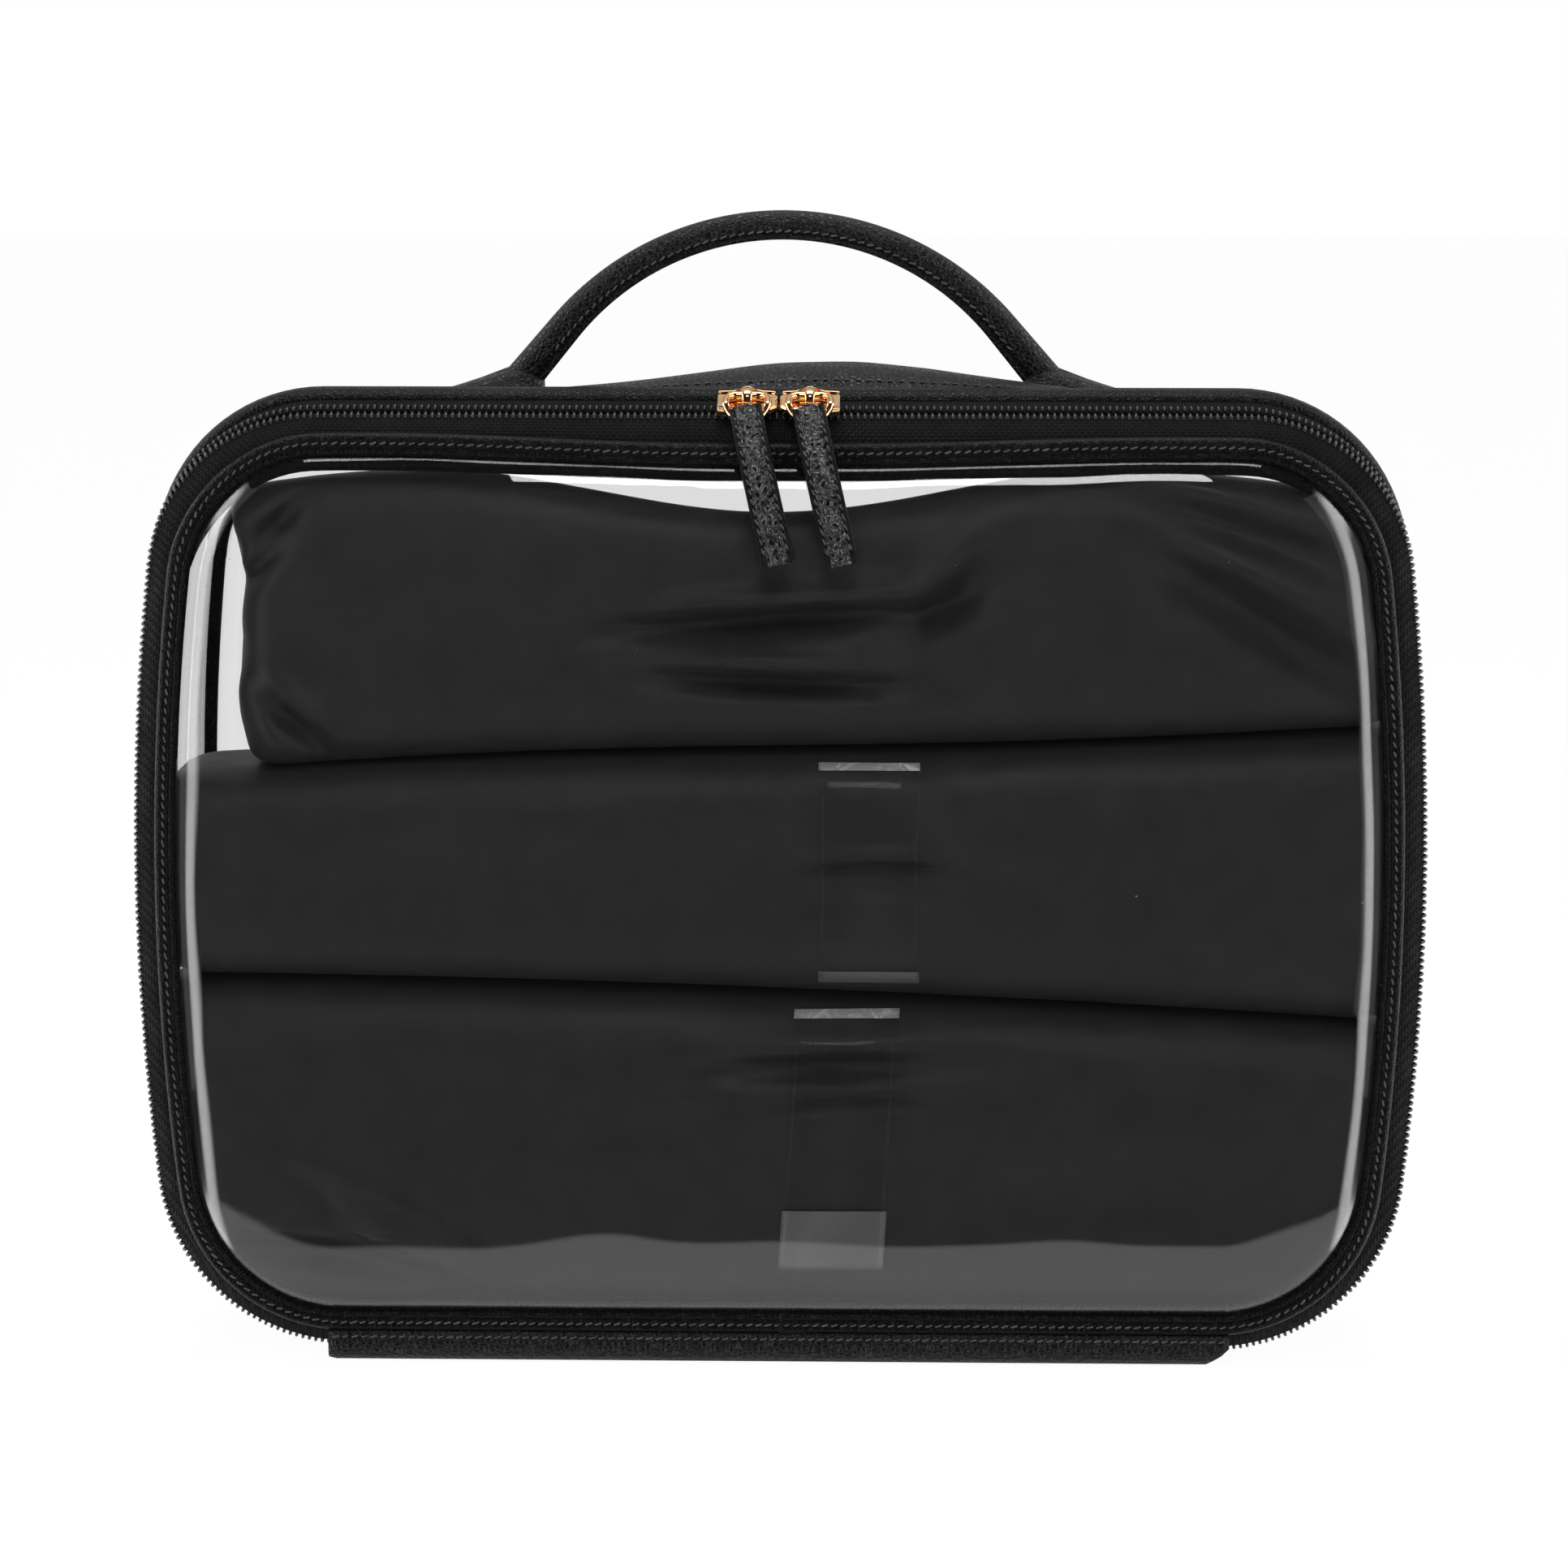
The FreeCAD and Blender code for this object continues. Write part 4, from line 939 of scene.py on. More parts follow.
anchorSize = {
    # distance from the middle, half width, height over the patch
    "stations": [(50.2, 3.4, 4.0), (52.2, 4.2, 6.0), (54.4, 4.8, 6.6), (57.2, 5.3, 6.2), (60.0, 6.0, 5.4),
                 (63.0, 6.6, 4.5), (66.5, 7.1, 3.6), (70.0, 7.2, 2.8), (74.0, 6.8, 2.1), (76.6, 6.2, 1.5),
                 (77.4, 5.6, 1.0)],
    "pleats": 0.35,
    "sides": 22,
}


def handleAnchor(name, side, node):
    points = []
    for x, half, height in anchorSize["stations"]:
        for n in range(anchorSize["sides"] + 1):
            s = 2 * n / anchorSize["sides"] - 1
            fold = math.cos(s * math.pi * 2.5) * anchorSize["pleats"] * height / 5
            lift = height * (1 - abs(s) ** 3.2) + fold * (1 - s * s)
            points.append(onTop(side * x, half * s, max(0.4, patchHeight(x, half * s) * 0.55 + lift)))
        points.append(onTop(side * x, half, 0.3))
        points.append(onTop(side * x, -half, 0.3))
    piece = tubePiece(name, points, anchorSize["sides"] + 3, finish["leather"])
    return mountPiece(piece, "base", "black_leather", node)


gripBox = [corner * 1000 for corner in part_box("handle_grip")]
handleSize = {
    "half": 53.0,
    "rise": 30.1,
    "leg": math.radians(50.0),      # slope of the straight legs
    "tuck": 3.4,                    # how far the legs run on into the anchors
    "swell": 0.26,                  # how much deeper the section is at the legs
    # across and outwards: rounded back, sewn ridge, hollow, and the bead along the inner edge
    "ridge": [(3.3, -0.5), (3.35, -1.2), (3.1, -1.55), (2.7, -1.75), (2.75, -2.1), (3.0, -2.35),
              (2.95, -2.75), (2.5, -3.0), (1.6, -2.6)],
    "under": (0.0, -2.4),           # middle of the inner edge
    "round": (3.25, 3.0),           # half width and height of the rounded back
    "roundSteps": 14,
    "steps": 110,
    "stitchPitch": 1.9,
    "stitchAt": (3.32, -1.2),
    "stitchShare": 0.84,            # the rows stop short of the anchors
    "stitchSteps": 80,
}


def handlePath(run, b, n):
    # Point at a signed distance along the middle of the handle, b to the back and n outwards
    leg, radius = handleSize["leg"], handleSize["radius"]
    side = math.copysign(1.0, run)
    turn = min(abs(run) / radius, leg)
    past = max(0.0, abs(run) - radius * leg)
    deep = 1 + handleSize["swell"] * min(1.0, (abs(run) / handleSize["length"]) ** 2)
    reach = radius + n * deep
    x = reach * math.sin(turn) + past * math.cos(leg)
    z = reach * math.cos(turn) - past * math.sin(leg)
    return Vector((side * x, handleSize["y"] + b, handleSize["crown"] - radius + z))


def handleGrip():
    sine, cosine = math.sin(handleSize["leg"]), math.cos(handleSize["leg"])
    handleSize["radius"] = (handleSize["half"] * sine - handleSize["rise"] * cosine) / (1 - cosine)
    straight = (handleSize["half"] - handleSize["radius"] * sine) / cosine
    handleSize["length"] = handleSize["radius"] * handleSize["leg"] + straight + handleSize["tuck"]
    handleSize["y"] = (gripBox[0].y + gripBox[1].y) / 2
    handleSize["crown"] = gripBox[1].z - handleSize["round"][1] - 0.1
    wide, tall = handleSize["round"]
    turns = [math.pi * n / handleSize["roundSteps"] for n in range(handleSize["roundSteps"] + 1)]
    section = [(wide * math.cos(a), tall * math.sin(a)) for a in turns]
    section += [(-b, n) for b, n in handleSize["ridge"]] + [handleSize["under"]] + handleSize["ridge"][::-1]
    points = []
    for step in range(handleSize["steps"] + 1):
        run = handleSize["length"] * (2 * step / handleSize["steps"] - 1)
        points += [handlePath(run, b, n) for b, n in section]
    piece = tubePiece("handleGrip", points, len(section), finish["leather"])
    mountPiece(piece, "handle", "black_leather", "handle_grip")
    across, outwards = handleSize["stitchAt"]
    reach, steps = handleSize["length"] * handleSize["stitchShare"], handleSize["stitchSteps"]
    runs = [reach * (2 * step / steps - 1) for step in range(steps + 1)]
    lines = []
    for side in (-1, 1):
        lines.append([(handlePath(run, side * across, outwards), (0, side, 0)) for run in runs])
    stitchRow("handleStitches", lines, handleSize["stitchPitch"], "handle", 13, (0.1, 0.1, 0.15))


handlePatch()
handleAnchor("leftAnchor", -1, "handle_anchor_left")
handleAnchor("rightAnchor", 1, "handle_anchor_right")
handleGrip()
print("handle made")


# Pull tabs: a strip of leather folded round the wire loop and sewn along its edges
tabSize = {
    "width": 6.7,
    "gauge": 1.9,
    "border": 0.66,         # the sewn edges are smooth from this share of the half width
    "hang": 1.1,            # the hem hangs this far below the CAD hem
    "hem": 1.35,
    "lean": math.radians(13.0),
    "line": [(0.0, 0.0), (-8.4, -7.8), (-11.6, -30.0)],      # hem, knee and end: forward, down
    # share of the half width, share of the half gauge: raised lips, stitched grooves, full middle
    "face": [(1.0, 0.15), (0.97, 0.75), (0.9, 1.0), (0.8, 0.85), (0.72, 0.62), (0.62, 0.75), (0.4, 1.1),
             (0.0, 1.25)],
    "steps": 46,
    "thin": 5.0,            # the fold thins to the gauge over this length
    "endRound": 0.7,
    "stitchPitch": 1.9,
    "stitchAt": (0.72, 0.66),
    "stitchEnds": (3.0, 1.6),       # where the rows start and how far from the end they stop
}


def tabLine(s):
    # Point and forward normal at distance s below the hem, on a smooth curve through the knee
    a, b, c = (Vector((0.0, y, z)) for y, z in tabSize["line"])
    t = s / tabSize["length"]
    knee = b + (b - (a + c) / 2) * 0.35
    p = a * (1 - t) ** 2 + knee * 2 * t * (1 - t) + c * t * t
    run = (knee - a) * 2 * (1 - t) + (c - knee) * 2 * t
    return p, Vector((0.0, run.z, -run.y)).normalized()


tabSize["length"] = sum(math.dist(a, b) for a, b in zip(tabSize["line"], tabSize["line"][1:]))


def pullTab(name, middle, body, node):
    hemBox = [corner * 1000 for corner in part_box(node)]
    lean, fold, half = tabSize["lean"], tabSize["hem"], tabSize["width"] / 2
    drop = fold + half * math.sin(lean) - fold * (1 - math.cos(lean)) + tabSize["hang"]
    hem = Vector((middle, hemBox[1].y - fold, hemBox[1].z - drop))
    turn = Matrix.Rotation(lean, 3, Vector((0, -1, 0)))
    front = [(-w, h) for w, h in tabSize["face"]] + tabSize["face"][-2::-1]
    section = front + [(w * 0.98, -0.7 if abs(w) < 0.95 else -0.3) for w, h in front[::-1]]
    seamAt, seamHeight = tabSize["stitchAt"]
    seamStart, seamEnd = tabSize["stitchEnds"]
    points, lines = [], [[], []]
    for n in range(tabSize["steps"] + 1):
        t = n / tabSize["steps"]
        s = -fold + (tabSize["length"] + fold) * t
        p, normal = tabLine(max(0.0, s))
        p = p + Vector((0, 0, -min(0.0, s)))
        roll = math.sqrt(max(0.0, 1 - min(0.0, s / fold) ** 2))
        blend = max(0.0, min(1.0, s / tabSize["thin"]))
        thick = (fold * (1 - blend) + tabSize["gauge"] / 2 * blend) * max(0.12, roll)
        toEnd = (tabSize["length"] - s) / tabSize["endRound"]
        thick *= 1.0 if toEnd > 1.0 else 0.55 + 0.45 * toEnd

        def onTab(w, h):
            return hem + turn @ (p + Vector((half * w, 0, 0)) + normal * thick * h)

        points += [onTab(w, h) for w, h in section]
        if seamStart < s < tabSize["length"] - seamEnd:
            for line, w in zip(lines, (-seamAt, seamAt)):
                line.append((onTab(w, seamHeight), turn @ normal))
    piece = tubePiece(name, points, len(section), finish["tabLeather"])
    piece.data.materials.append(finish["binding"])
    back = turn.inverted()
    for face in piece.data.polygons:
        aside = abs((back @ (face.center * 1000 - hem)).x)
        face.material_index = 1 if aside > tabSize["border"] * half else 0
    mountPiece(piece, body, "black_leather", node)
    last = [lines[0][-1], lines[1][-1]]
    stitchRow(name + "Stitches", lines + [last], tabSize["stitchPitch"], body, 15)


# Slider metal, in the plane of the chain: the CAD body gets a crown rim, a front flange, a bail and a loop
sliderSize = {
    "lean": math.radians(20.0),
    "origin": Vector((0.0, case["front"] + 10.0, 196.0)),
    "top": 2.9,             # top face of the body over the chain
    # along from the nose, height of the rear rim over the body
    "rim": [(0.6, 0.35), (3.2, 0.5), (4.6, 0.85), (5.8, 1.5), (6.6, 1.5), (7.8, 0.85), (9.2, 0.5),
            (12.1, 0.4)],
    "rimShift": 0.1,
    "rimBack": 3.7,
    "rimSunk": 0.3,
    "flange": [(6.5, -4.05), (9.0, -3.75), (12.25, -3.25)],     # along, across
    "flangeDrop": 1.7,
    "flangeTop": 0.25,
    "gauge": 0.55,
    "middle": 6.3,
    "bail": [(-2.35, 2.7), (-2.3, 3.9), (-1.9, 4.75), (-1.0, 5.1), (1.0, 5.1), (1.9, 4.75), (2.3, 3.9),
             (2.35, 2.7)],
    "bailSection": (1.05, 0.4),
    "loop": (4.2, 0.2, -6.2, 2.3),      # half width, rear and front run, corner
    "loopHeight": 3.85,
    "wire": 0.8,
    "wireSides": 12,
    "droop": 0.85,          # the front of the loop bends down past the body
    "droopAt": -4.4,
}


def onChain(x, y, z):
    lean = sliderSize["lean"]
    turned = Vector((x, y * math.cos(lean) - z * math.sin(lean), y * math.sin(lean) + z * math.cos(lean)))
    return sliderSize["origin"] + turned


def tubeAlong(name, path, across, section, closed, material):
    # Sweeps an ellipse along a path; across is one axis of the ellipse, section its two half sizes
    points, sides = [], sliderSize["wireSides"]
    for n, p in enumerate(path):
        before = path[n - 1] if closed or n else p
        after = path[(n + 1) % len(path)] if closed or n < len(path) - 1 else p
        run = (after - before).normalized()
        out = run.cross(across).normalized()
        for m in range(sides):
            a = math.tau * m / sides
            points.append(p + across * math.cos(a) * section[0] + out * math.sin(a) * section[1])
    faces = loftFaces(len(path), sides, True, True) if closed else tubeFaces(len(points), sides)
    return newPiece(name, points, faces, material)


def stripWall(lower, upper, thick):
    # Points and faces of an upright strip between two lines, thick towards the back
    points = []
    for low, high in zip(lower, upper):
        points += [low, high, high + thick, low + thick]
    return points, tubeFaces(len(points), 4)


def sliderTrim(name, side, body):
    top, rear = sliderSize["top"], sliderSize["rimBack"]
    thick = onChain(0, sliderSize["gauge"], 0) - onChain(0, 0, 0)
    rim = [(side * (x + sliderSize["rimShift"]), h) for x, h in sliderSize["rim"]]
    rimLow = [onChain(x, rear, top - sliderSize["rimSunk"]) for x, h in rim]
    points, faces = stripWall(rimLow, [onChain(x, rear, top + h) for x, h in rim], -thick)
    flange = [[onChain(side * x, y, top - drop) for x, y in sliderSize["flange"]]
              for drop in (sliderSize["flangeDrop"], sliderSize["flangeTop"])]
    more, moreFaces = stripWall(*flange, thick)
    faces += [tuple(n + len(points) for n in face) for face in moreFaces]
    trim = newPiece(name + "SliderTrim", points + more, faces, finish["gold"], smooth=False)
    useModifier(trim, "BEVEL", width=0.00018, segments=2)
    setSmooth(trim.data)
    mountPiece(trim, body, "gold_metal")


def sliderBail(name, side, body, node):
    path = [onChain(side * sliderSize["middle"], y, z) for y, z in sliderSize["bail"]]
    bail = tubeAlong(name + "Bail", path, Vector((1, 0, 0)), sliderSize["bailSection"], False, finish["gold"])
    useModifier(bail, "SUBSURF", levels=1, render_levels=1)
    mountPiece(bail, body, "gold_metal", node)


def pullLoop(name, side, body, node):
    half, rear, front, corner = sliderSize["loop"]
    outline = evenLoop(roundedRect(half, (rear - front) / 2, corner, 0.0), 0.8)
    middle = (rear + front) / 2
    path = []
    for x, y in outline:
        droop = max(0.0, sliderSize["droopAt"] - middle - y) * sliderSize["droop"]
        path.append(onChain(side * sliderSize["middle"] + x, middle + y, sliderSize["loopHeight"] - droop))
    up = (onChain(0, 0, 1) - onChain(0, 0, 0)).normalized()
    loop = tubeAlong(name + "Loop", path, up, (sliderSize["wire"],) * 2, True, finish["gold"])
    mountPiece(loop, body, "gold_metal", node)


for name, side in (("left", -1), ("right", 1)):
    pullTab(name + "Tab", side * sliderSize["middle"], name + "_pull", name + "_pull_tab")
    sliderTrim(name, side, name + "_slider")
    sliderBail(name, side, name + "_slider", name + "_slider_bail")
    pullLoop(name, side, name + "_pull", name + "_pull_loop")
carriedOver = {"left_slider_body": "gold", "right_slider_body": "gold", "handle_stiffener": "board",
               "handle_core": "board"}
for node, look in carriedOver.items():
    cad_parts[node].data.materials.clear()
    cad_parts[node].data.materials.append(finish[look])
print("pulls made")

# Nylon bundles behind the window
rollSize = {
    "front": depthOf("filler_roll_middle", 0),
    "depth": 45.0,
    "square": 4.2,          # how square the section is
    "endRound": 9.0,        # rounding of the ends
    "pinch": 2.2,           # how much lower a bundle is at its ends
    "clear": 0.6,           # room between the ends and the outline of the front seam
    "columns": 170,
    "sides": 132,
    "gap": 0.15,
    "fold": 2.6,
    "settle": 5.0,          # the bottom bundle sinks this far behind the binding
    "tall": 25.0,           # half height at which the points of the section are evenly spaced
    "samples": 4000,
    "crumple": 0.5,
    "endCrumple": 1.6,
    "topDrop": 0.28,        # slope of the top bundle's upper side to the back
}


def firstSplit(x):
    return 76.9 - 0.036 * x - 1.6 * (x / 120.0) ** 2


def secondSplit(x):
    return 127.4 + 0.038 * x - 0.8 * math.sin(x / 38.0)


def topLine(x):
    # Sags between two humps and falls off towards the ends
    return 190.6 - 11.2 * math.exp(-((x + 2.0) / 55.0) ** 2) - 5.0 * (x / 116.0) ** 4


# Folds of each bundle: middle x and z, half length, half width, tilt in degrees, depth
rollFolds = {
    "top": [(2, 155, 28, 2.6, 4, 3.2), (0, 142, 22, 2.4, -2, 3.2), (34, 158, 14, 4.0, 40, 2.4),
            (96, 155, 30, 5.0, -32, 2.6), (88, 174, 26, 4.0, -18, 2.2), (-102, 173, 8, 2.2, 42, 2.0),
            (-105, 165, 8, 2.2, 42, 1.8), (-98, 133, 9, 2.4, -45, 2.0), (-60, 150, 40, 9.0, 4, 0.9)],
    "middle": [(19, 103.5, 13, 1.7, 1, 1.7), (22, 100.0, 8, 1.5, -2, 1.0), (0, 113, 2.4, 7.0, 0, -0.7),
               (31, 115, 2.6, 8.0, 8, -0.9), (-60, 100, 60, 9.0, -1, 0.5)],
    "bottom": [(9, 62.5, 21, 2.6, 2, 2.0), (15, 55.5, 13, 1.5, 3, 1.7), (-92, 21, 18, 4.0, -8, 3.0),
               (-82, 29, 24, 3.5, -28, -1.2), (60, 34, 60, 11.0, 3, 0.7)],
}


def foldDepth(folds, x, z):
    total = 0.0
    for cx, cz, length, width, tilt, depth in folds:
        c, s = math.cos(math.radians(tilt)), math.sin(math.radians(tilt))
        u = ((x - cx) * c + (z - cz) * s) / length
        v = ((z - cz) * c - (x - cx) * s) / width
        total += depth * math.exp(-u * u) * (math.exp(-v * v) - 0.5 * math.exp(-(v - 1.8) ** 2))
    return total


def rollSection():
    # Points evenly spaced round a squarish unit section, as seen at the size of a bundle
    power, tall, deep = 2 / rollSize["square"], rollSize["tall"], rollSize["depth"] / 2
    dense = []
    for n in range(rollSize["samples"]):
        a = math.tau * n / rollSize["samples"]
        c, s = math.cos(a), math.sin(a)
        dense.append((math.copysign(abs(c) ** power, c), math.copysign(abs(s) ** power, s)))
    lengths = [math.hypot((u1 - u0) * deep, (v1 - v0) * tall)
               for (u0, v0), (u1, v1) in zip(dense, dense[1:] + dense[:1])]
    step = sum(lengths) / rollSize["sides"]
    section, run = [], 0.0
    for point, length in zip(dense, lengths):
        if run >= len(section) * step:
            section.append(point)
        run += length
    return section[:rollSize["sides"]]


def midLevel(low, high, x):
    return (low(x) + high(x)) / 2


def fillerRoll(name, low, high, folds, node, leftEnd=None, drop=0.0):
    # leftEnd is a function of z where a bundle stops short of the left side
    # drop is the slope of its top to the back
    front = case["front"] + rollSize["front"]
    middleY = front + rollSize["depth"] / 2
    section = rollSection()
    points = []
    for n in range(rollSize["columns"] + 1):
        along = math.sin(math.pi / 2 * (2 * n / rollSize["columns"] - 1))
        for u, v in section:
            x = along * halfWidth(midLevel(low, high, 0))
            z = midLevel(low, high, x) + v * ((high(x) - low(x)) / 2 - rollSize["gap"])
            reach = halfWidth(z) - rollSize["clear"]
            x = along * (min(reach, leftEnd(z)) if leftEnd and along < 0 else reach)
            toEnd = (1 - abs(along)) * reach
            turn = max(0.0, 1 - toEnd / rollSize["endRound"])
            back = 1 - math.sqrt(1 - turn * turn)
            z += (midLevel(low, high, x) - z) * 2 * back * rollSize["pinch"] / (high(x) - low(x))
            p = Vector((x, middleY - u * (rollSize["depth"] / 2 - back * rollSize["endRound"]), z))
            p.z -= max(0.0, v) * drop * (p.y - front)
            crumple = noise.noise(Vector((p.x / 30.0, p.y / 14.0, p.z / 10.0)))
            sunk = rollSize["fold"] * foldDepth(folds, p.x, p.z) + rollSize["crumple"] * crumple
            p.y += max(0.0, u) * sunk
            uneven = noise.noise(Vector((3.0, p.y / 8.0, p.z / 9.0)))
            p.x += rollSize["endCrumple"] * turn * along * uneven
            points.append(p)
    piece = tubePiece(name, points, rollSize["sides"], finish["nylon"])
    mountPiece(piece, "lid", "black_nylon", node)
    return piece


def raggedEnd(z):
    # Left end of the top bundle, which stops short of the side
    waves = 1.6 * math.sin((z - 128.0) / 7.5) * math.exp(-(z - 126.0) / 14.0)
    return 109.0 + waves + 2.4 * max(0.0, (z - 170.0) / 12.0)


lowBox = [corner * 1000 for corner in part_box("filler_roll_bottom")]


def bottomLine(x):
    return lowBox[0].z - rollSize["settle"]


rolls = {
    "bottom": fillerRoll("bottomRoll", bottomLine, firstSplit, rollFolds["bottom"], "filler_roll_bottom"),
    "middle": fillerRoll("middleRoll", firstSplit, secondSplit, rollFolds["middle"], "filler_roll_middle"),
    "top": fillerRoll("topRoll", secondSplit, topLine, rollFolds["top"], "filler_roll_top", raggedEnd,
                      rollSize["topDrop"]),
}
print("rolls made")


# Clear tape stuck over the middle and bottom bundles
tapeSize = {
    "lift": 0.3,
    "gauge": 0.12,
    "columns": 10,
    "rows": 34,
    "tension": 80,
    "thinEdge": 0.2,        # share of the gauge left at the cut edges
    "castFrom": -20.0,
    "edgeFacing": 0.7,      # faces turned this far aside are cut edges
    "paintedGlint": 1.0,           # height of the top end, painted pale as a highlight
    # corners of each strip: left x at the top and the bottom, width, top and bottom level, milky end
    "middle": (8.2, 8.2, 20.6, 125.4, 80.1, 2.8),
    "bottom": (3.3, 0.0, 21.6, 74.0, 20.0, 12.2),
}


def clearStrip(name, roll, settings, node):
    topLeft, lowLeft, width, high, low, milky = settings
    surface = roll.data
    tree = BVHTree.FromPolygons([v.co for v in surface.vertices], [f.vertices for f in surface.polygons])
    front = case["front"] + tapeSize["castFrom"]
    points = []
    for layer in (0.0, tapeSize["gauge"]):
        for r in range(tapeSize["rows"] + 1):
            t = r / tapeSize["rows"]
            for c in range(tapeSize["columns"] + 1):
                x = topLeft + (lowLeft - topLeft) * t + width * c / tapeSize["columns"]
                z = high + (low - high) * t
                hit = tree.ray_cast(Vector((x, front, z)) * 0.001, Vector((0, 1, 0)))[0]
                y = hit.y * 1000 if hit else case["front"] + rollSize["front"]
                thin = layer if 0 < c < tapeSize["columns"] else layer * tapeSize["thinEdge"]
                points.append(Vector((x, y - tapeSize["lift"] - thin, z)))
    columns, rows = tapeSize["columns"] + 1, tapeSize["rows"] + 1
    sheetSize = columns * rows
    for n in range(tapeSize["tension"]):
        # Pulled tight, the strip bridges the folds
        for r in [*range(1, rows - 1), *range(rows + 1, 2 * rows - 1)]:
            for c in range(columns):
                here = points[r * columns + c]
                here.y = min(here.y, (points[(r - 1) * columns + c].y + points[(r + 1) * columns + c].y) / 2)
    lower = loftFaces(rows, columns, False, False)
    faces = lower + [tuple(n + sheetSize for n in face) for face in lower]
    rim = [*range(columns)] + [r * columns + columns - 1 for r in range(1, rows)]
    rim += [sheetSize - 1 - c for c in range(1, columns)] + [r * columns for r in range(rows - 2, 0, -1)]
    faces += [(a, b, b + sheetSize, a + sheetSize) for a, b in zip(rim, rim[1:] + rim[:1])]
    piece = newPiece(name, points, faces, finish["clearTape"])
    piece.data.materials.append(finish["milkyTape"])
    piece.data.materials.append(finish["paintedTapeGlint"])
    for face in piece.data.polygons:
        level = face.center.z * 1000
        if level < low + milky or abs(face.normal.x) > tapeSize["edgeFacing"]:
            face.material_index = 1
        elif level > high - tapeSize["paintedGlint"]:
            # The top end gets the pale finish: a painted highlight
            face.material_index = 2
    return mountPiece(piece, "lid", "clear_tape", node)


clearStrip("middleTape", rolls["middle"], tapeSize["middle"], "tape_strip_middle")
clearStrip("bottomTape", rolls["bottom"], tapeSize["bottom"], "tape_strip_bottom")
bpy.data.objects.remove(stitch)
print("tape made")

# Stage, light and camera
stageSize = {"floor": 8.0, "white": 0.84, "glow": 1.14}


def bounceShares(tree):
    # Whether a ray has left a rough surface, and whether it has only been mirrored or passed through film
    rays = addNode(tree, "ShaderNodeLightPath").outputs
    spread = mathNode(tree, "MINIMUM", rays["Diffuse Depth"], 1.0)
    mirrored = mathNode(tree, "MINIMUM", rays["Glossy Depth"], 1.0)
    return spread, mirrored


def whiteStage():
    # A pale floor: white to the lens, yet it keeps the shadow
    material, tree, shader, place = newFinish("paleFloor", Roughness=0.9)
    paper = noiseNode(tree, place, 30.0, 4.0)["Fac"]
    linkInputs(tree, shader, {"Base Color": mixColour(tree, paper, (0.86,) * 3, (0.9,) * 3)})
    glow = addNode(tree, "ShaderNodeEmission", {"Color": (1, 1, 1, 1), "Strength": stageSize["glow"]})
    spread, mirrored = bounceShares(tree)
    share = mathNode(tree, "MULTIPLY", mathNode(tree, "SUBTRACT", 1.0, spread), stageSize["white"])
    both = mixShaders(tree, share, shader, glow)
    last = mixShaders(tree, mirrored, both, addNode(tree, "ShaderNodeBsdfTransparent"))
    tree.links.new(last.outputs[0], tree.nodes["Material Output"].inputs["Surface"])
    mesh = bpy.data.meshes.new("floor")
    half = stageSize["floor"] / 2
    corners = [(x * half, y * half, 0) for x, y in ((-1, -1), (1, -1), (1, 1), (-1, 1))]
    mesh.from_pydata(corners, [], [(0, 1, 2, 3)])
    mesh.materials.append(material)
    floor = addObject("floor", mesh)


worldSize = {
    # direction from and to, strength from and to
    "behind": (0.1, 0.6, 0.015, 0.6),
    "above": (0.3, 0.95, 0.0, 0.03),
    "table": (-0.36, -0.41, 0.0, 1.0),
    "boxes": (0.68, 0.8, 0.0, 4.6),
    "boxEnds": (0.88, 0.95, 1.0, 0.0),
    "white": 1.0,
    "fill": 0.05,           # what rough surfaces get
}


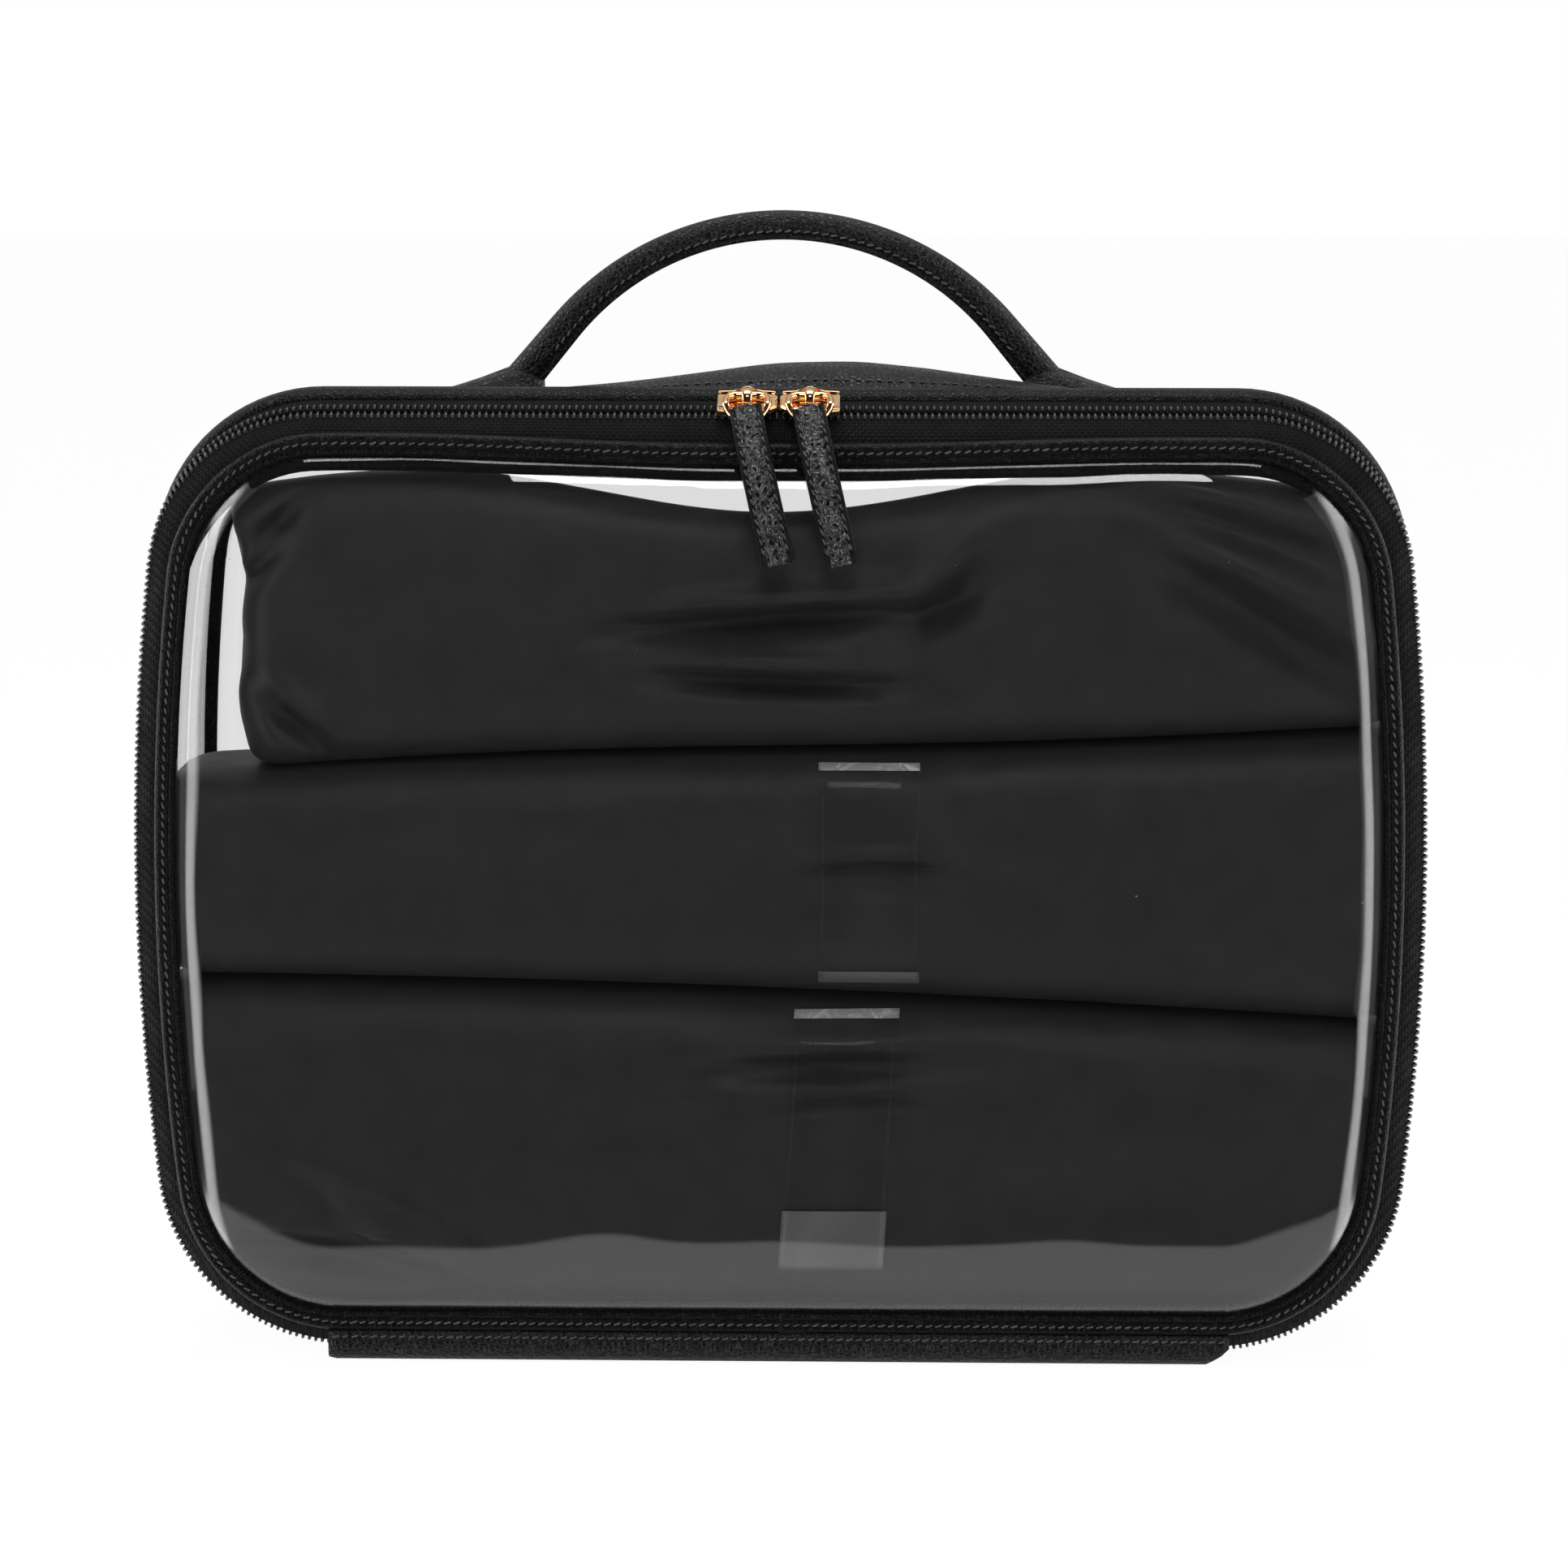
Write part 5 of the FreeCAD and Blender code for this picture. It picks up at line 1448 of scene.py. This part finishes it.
def studioWorld():
    # White to the lens and through the film; to reflections a dark room over a white table
    world = bpy.data.worlds.new("studio")
    world.use_nodes = True
    tree = world.node_tree
    tree.nodes.clear()
    spread, mirrored = bounceShares(tree)
    direction = addNode(tree, "ShaderNodeSeparateXYZ", {
        0: addNode(tree, "ShaderNodeTexCoord").outputs["Generated"]}).outputs
    across = mathNode(tree, "ABSOLUTE", direction["X"])
    lit = {"behind": direction["Y"], "above": direction["Z"], "table": direction["Z"], "boxes": across,
           "boxEnds": across}
    parts = {key: rangeNode(tree, facing, *worldSize[key]) for key, facing in lit.items()}
    boxes = mathNode(tree, "MULTIPLY", parts["boxes"], parts["boxEnds"])
    room = mathNode(tree, "MAXIMUM", parts["behind"], parts["above"])
    seen = mathNode(tree, "MAXIMUM", room, mathNode(tree, "MAXIMUM", parts["table"], boxes))
    white, reflection, fill = [
        addNode(tree, "ShaderNodeBackground", {"Color": (1, 1, 1, 1), "Strength": strength})
        for strength in (worldSize["white"], seen, worldSize["fill"])]
    both = mixShaders(tree, spread, mixShaders(tree, mirrored, white, reflection), fill)
    addNode(tree, "ShaderNodeOutputWorld", {"Surface": both.outputs[0]})
    scene.world = world


lamps = {
    # place, point it faces, width, height, watts, whether reflections show it
    "leftBox": ((-0.72, -0.22, 0.30), (0.0, -0.22, 0.22), 0.9, 0.9, 0.9, True),
    "rightBox": ((0.72, -0.30, 0.30), (0.0, -0.28, 0.22), 0.9, 0.9, 0.8, True),
    "topBox": ((0.0, 0.10, 0.95), (0.0, 0.0, 0.1), 0.6, 0.4, 4.0, True),
    "smallBox": ((0.03, -0.80, 0.90), (0.0, 0.0, 0.18), 0.24, 0.24, 1.6, True),
    "frontBox": ((0.0, -1.0, 0.14), (0.0, 0.0, 0.1), 0.9, 0.2, 3.2, False),
}


def aim(obj, place, point):
    obj.location = place
    obj.rotation_euler = (Vector(point) - Vector(place)).to_track_quat("-Z", "Y").to_euler()


def studioLamps():
    for name, (place, point, width, height, watts, shine) in lamps.items():
        light = bpy.data.lights.new(name, "AREA")
        light.shape = "RECTANGLE"
        light.size = width
        light.size_y = height
        light.energy = watts
        lamp = addObject(name, light)
        lamp.visible_glossy = shine
        lamp.visible_transmission = shine
        aim(lamp, place, point)


view = {"yaw": math.radians(1.4), "rise": math.radians(9.934), "away": 0.9558, "lens": 108.56,
        "aimX": 0.0013, "aimZ": 0.1219}


def photoCamera():
    data = bpy.data.cameras.new("photoCamera")
    data.lens = view["lens"]
    data.sensor_width = 36.0
    camera = addObject("photoCamera", data)
    point = Vector((view["aimX"], case["front"] * 0.001, view["aimZ"]))
    flat = math.cos(view["rise"])
    toCamera = Vector((math.sin(view["yaw"]) * flat, -math.cos(view["yaw"]) * flat, math.sin(view["rise"])))
    aim(camera, point + toCamera * view["away"], point)
    scene.camera = camera


whiteStage()
studioWorld()
studioLamps()
photoCamera()
scene.view_settings.view_transform = "Standard"

print("case built")
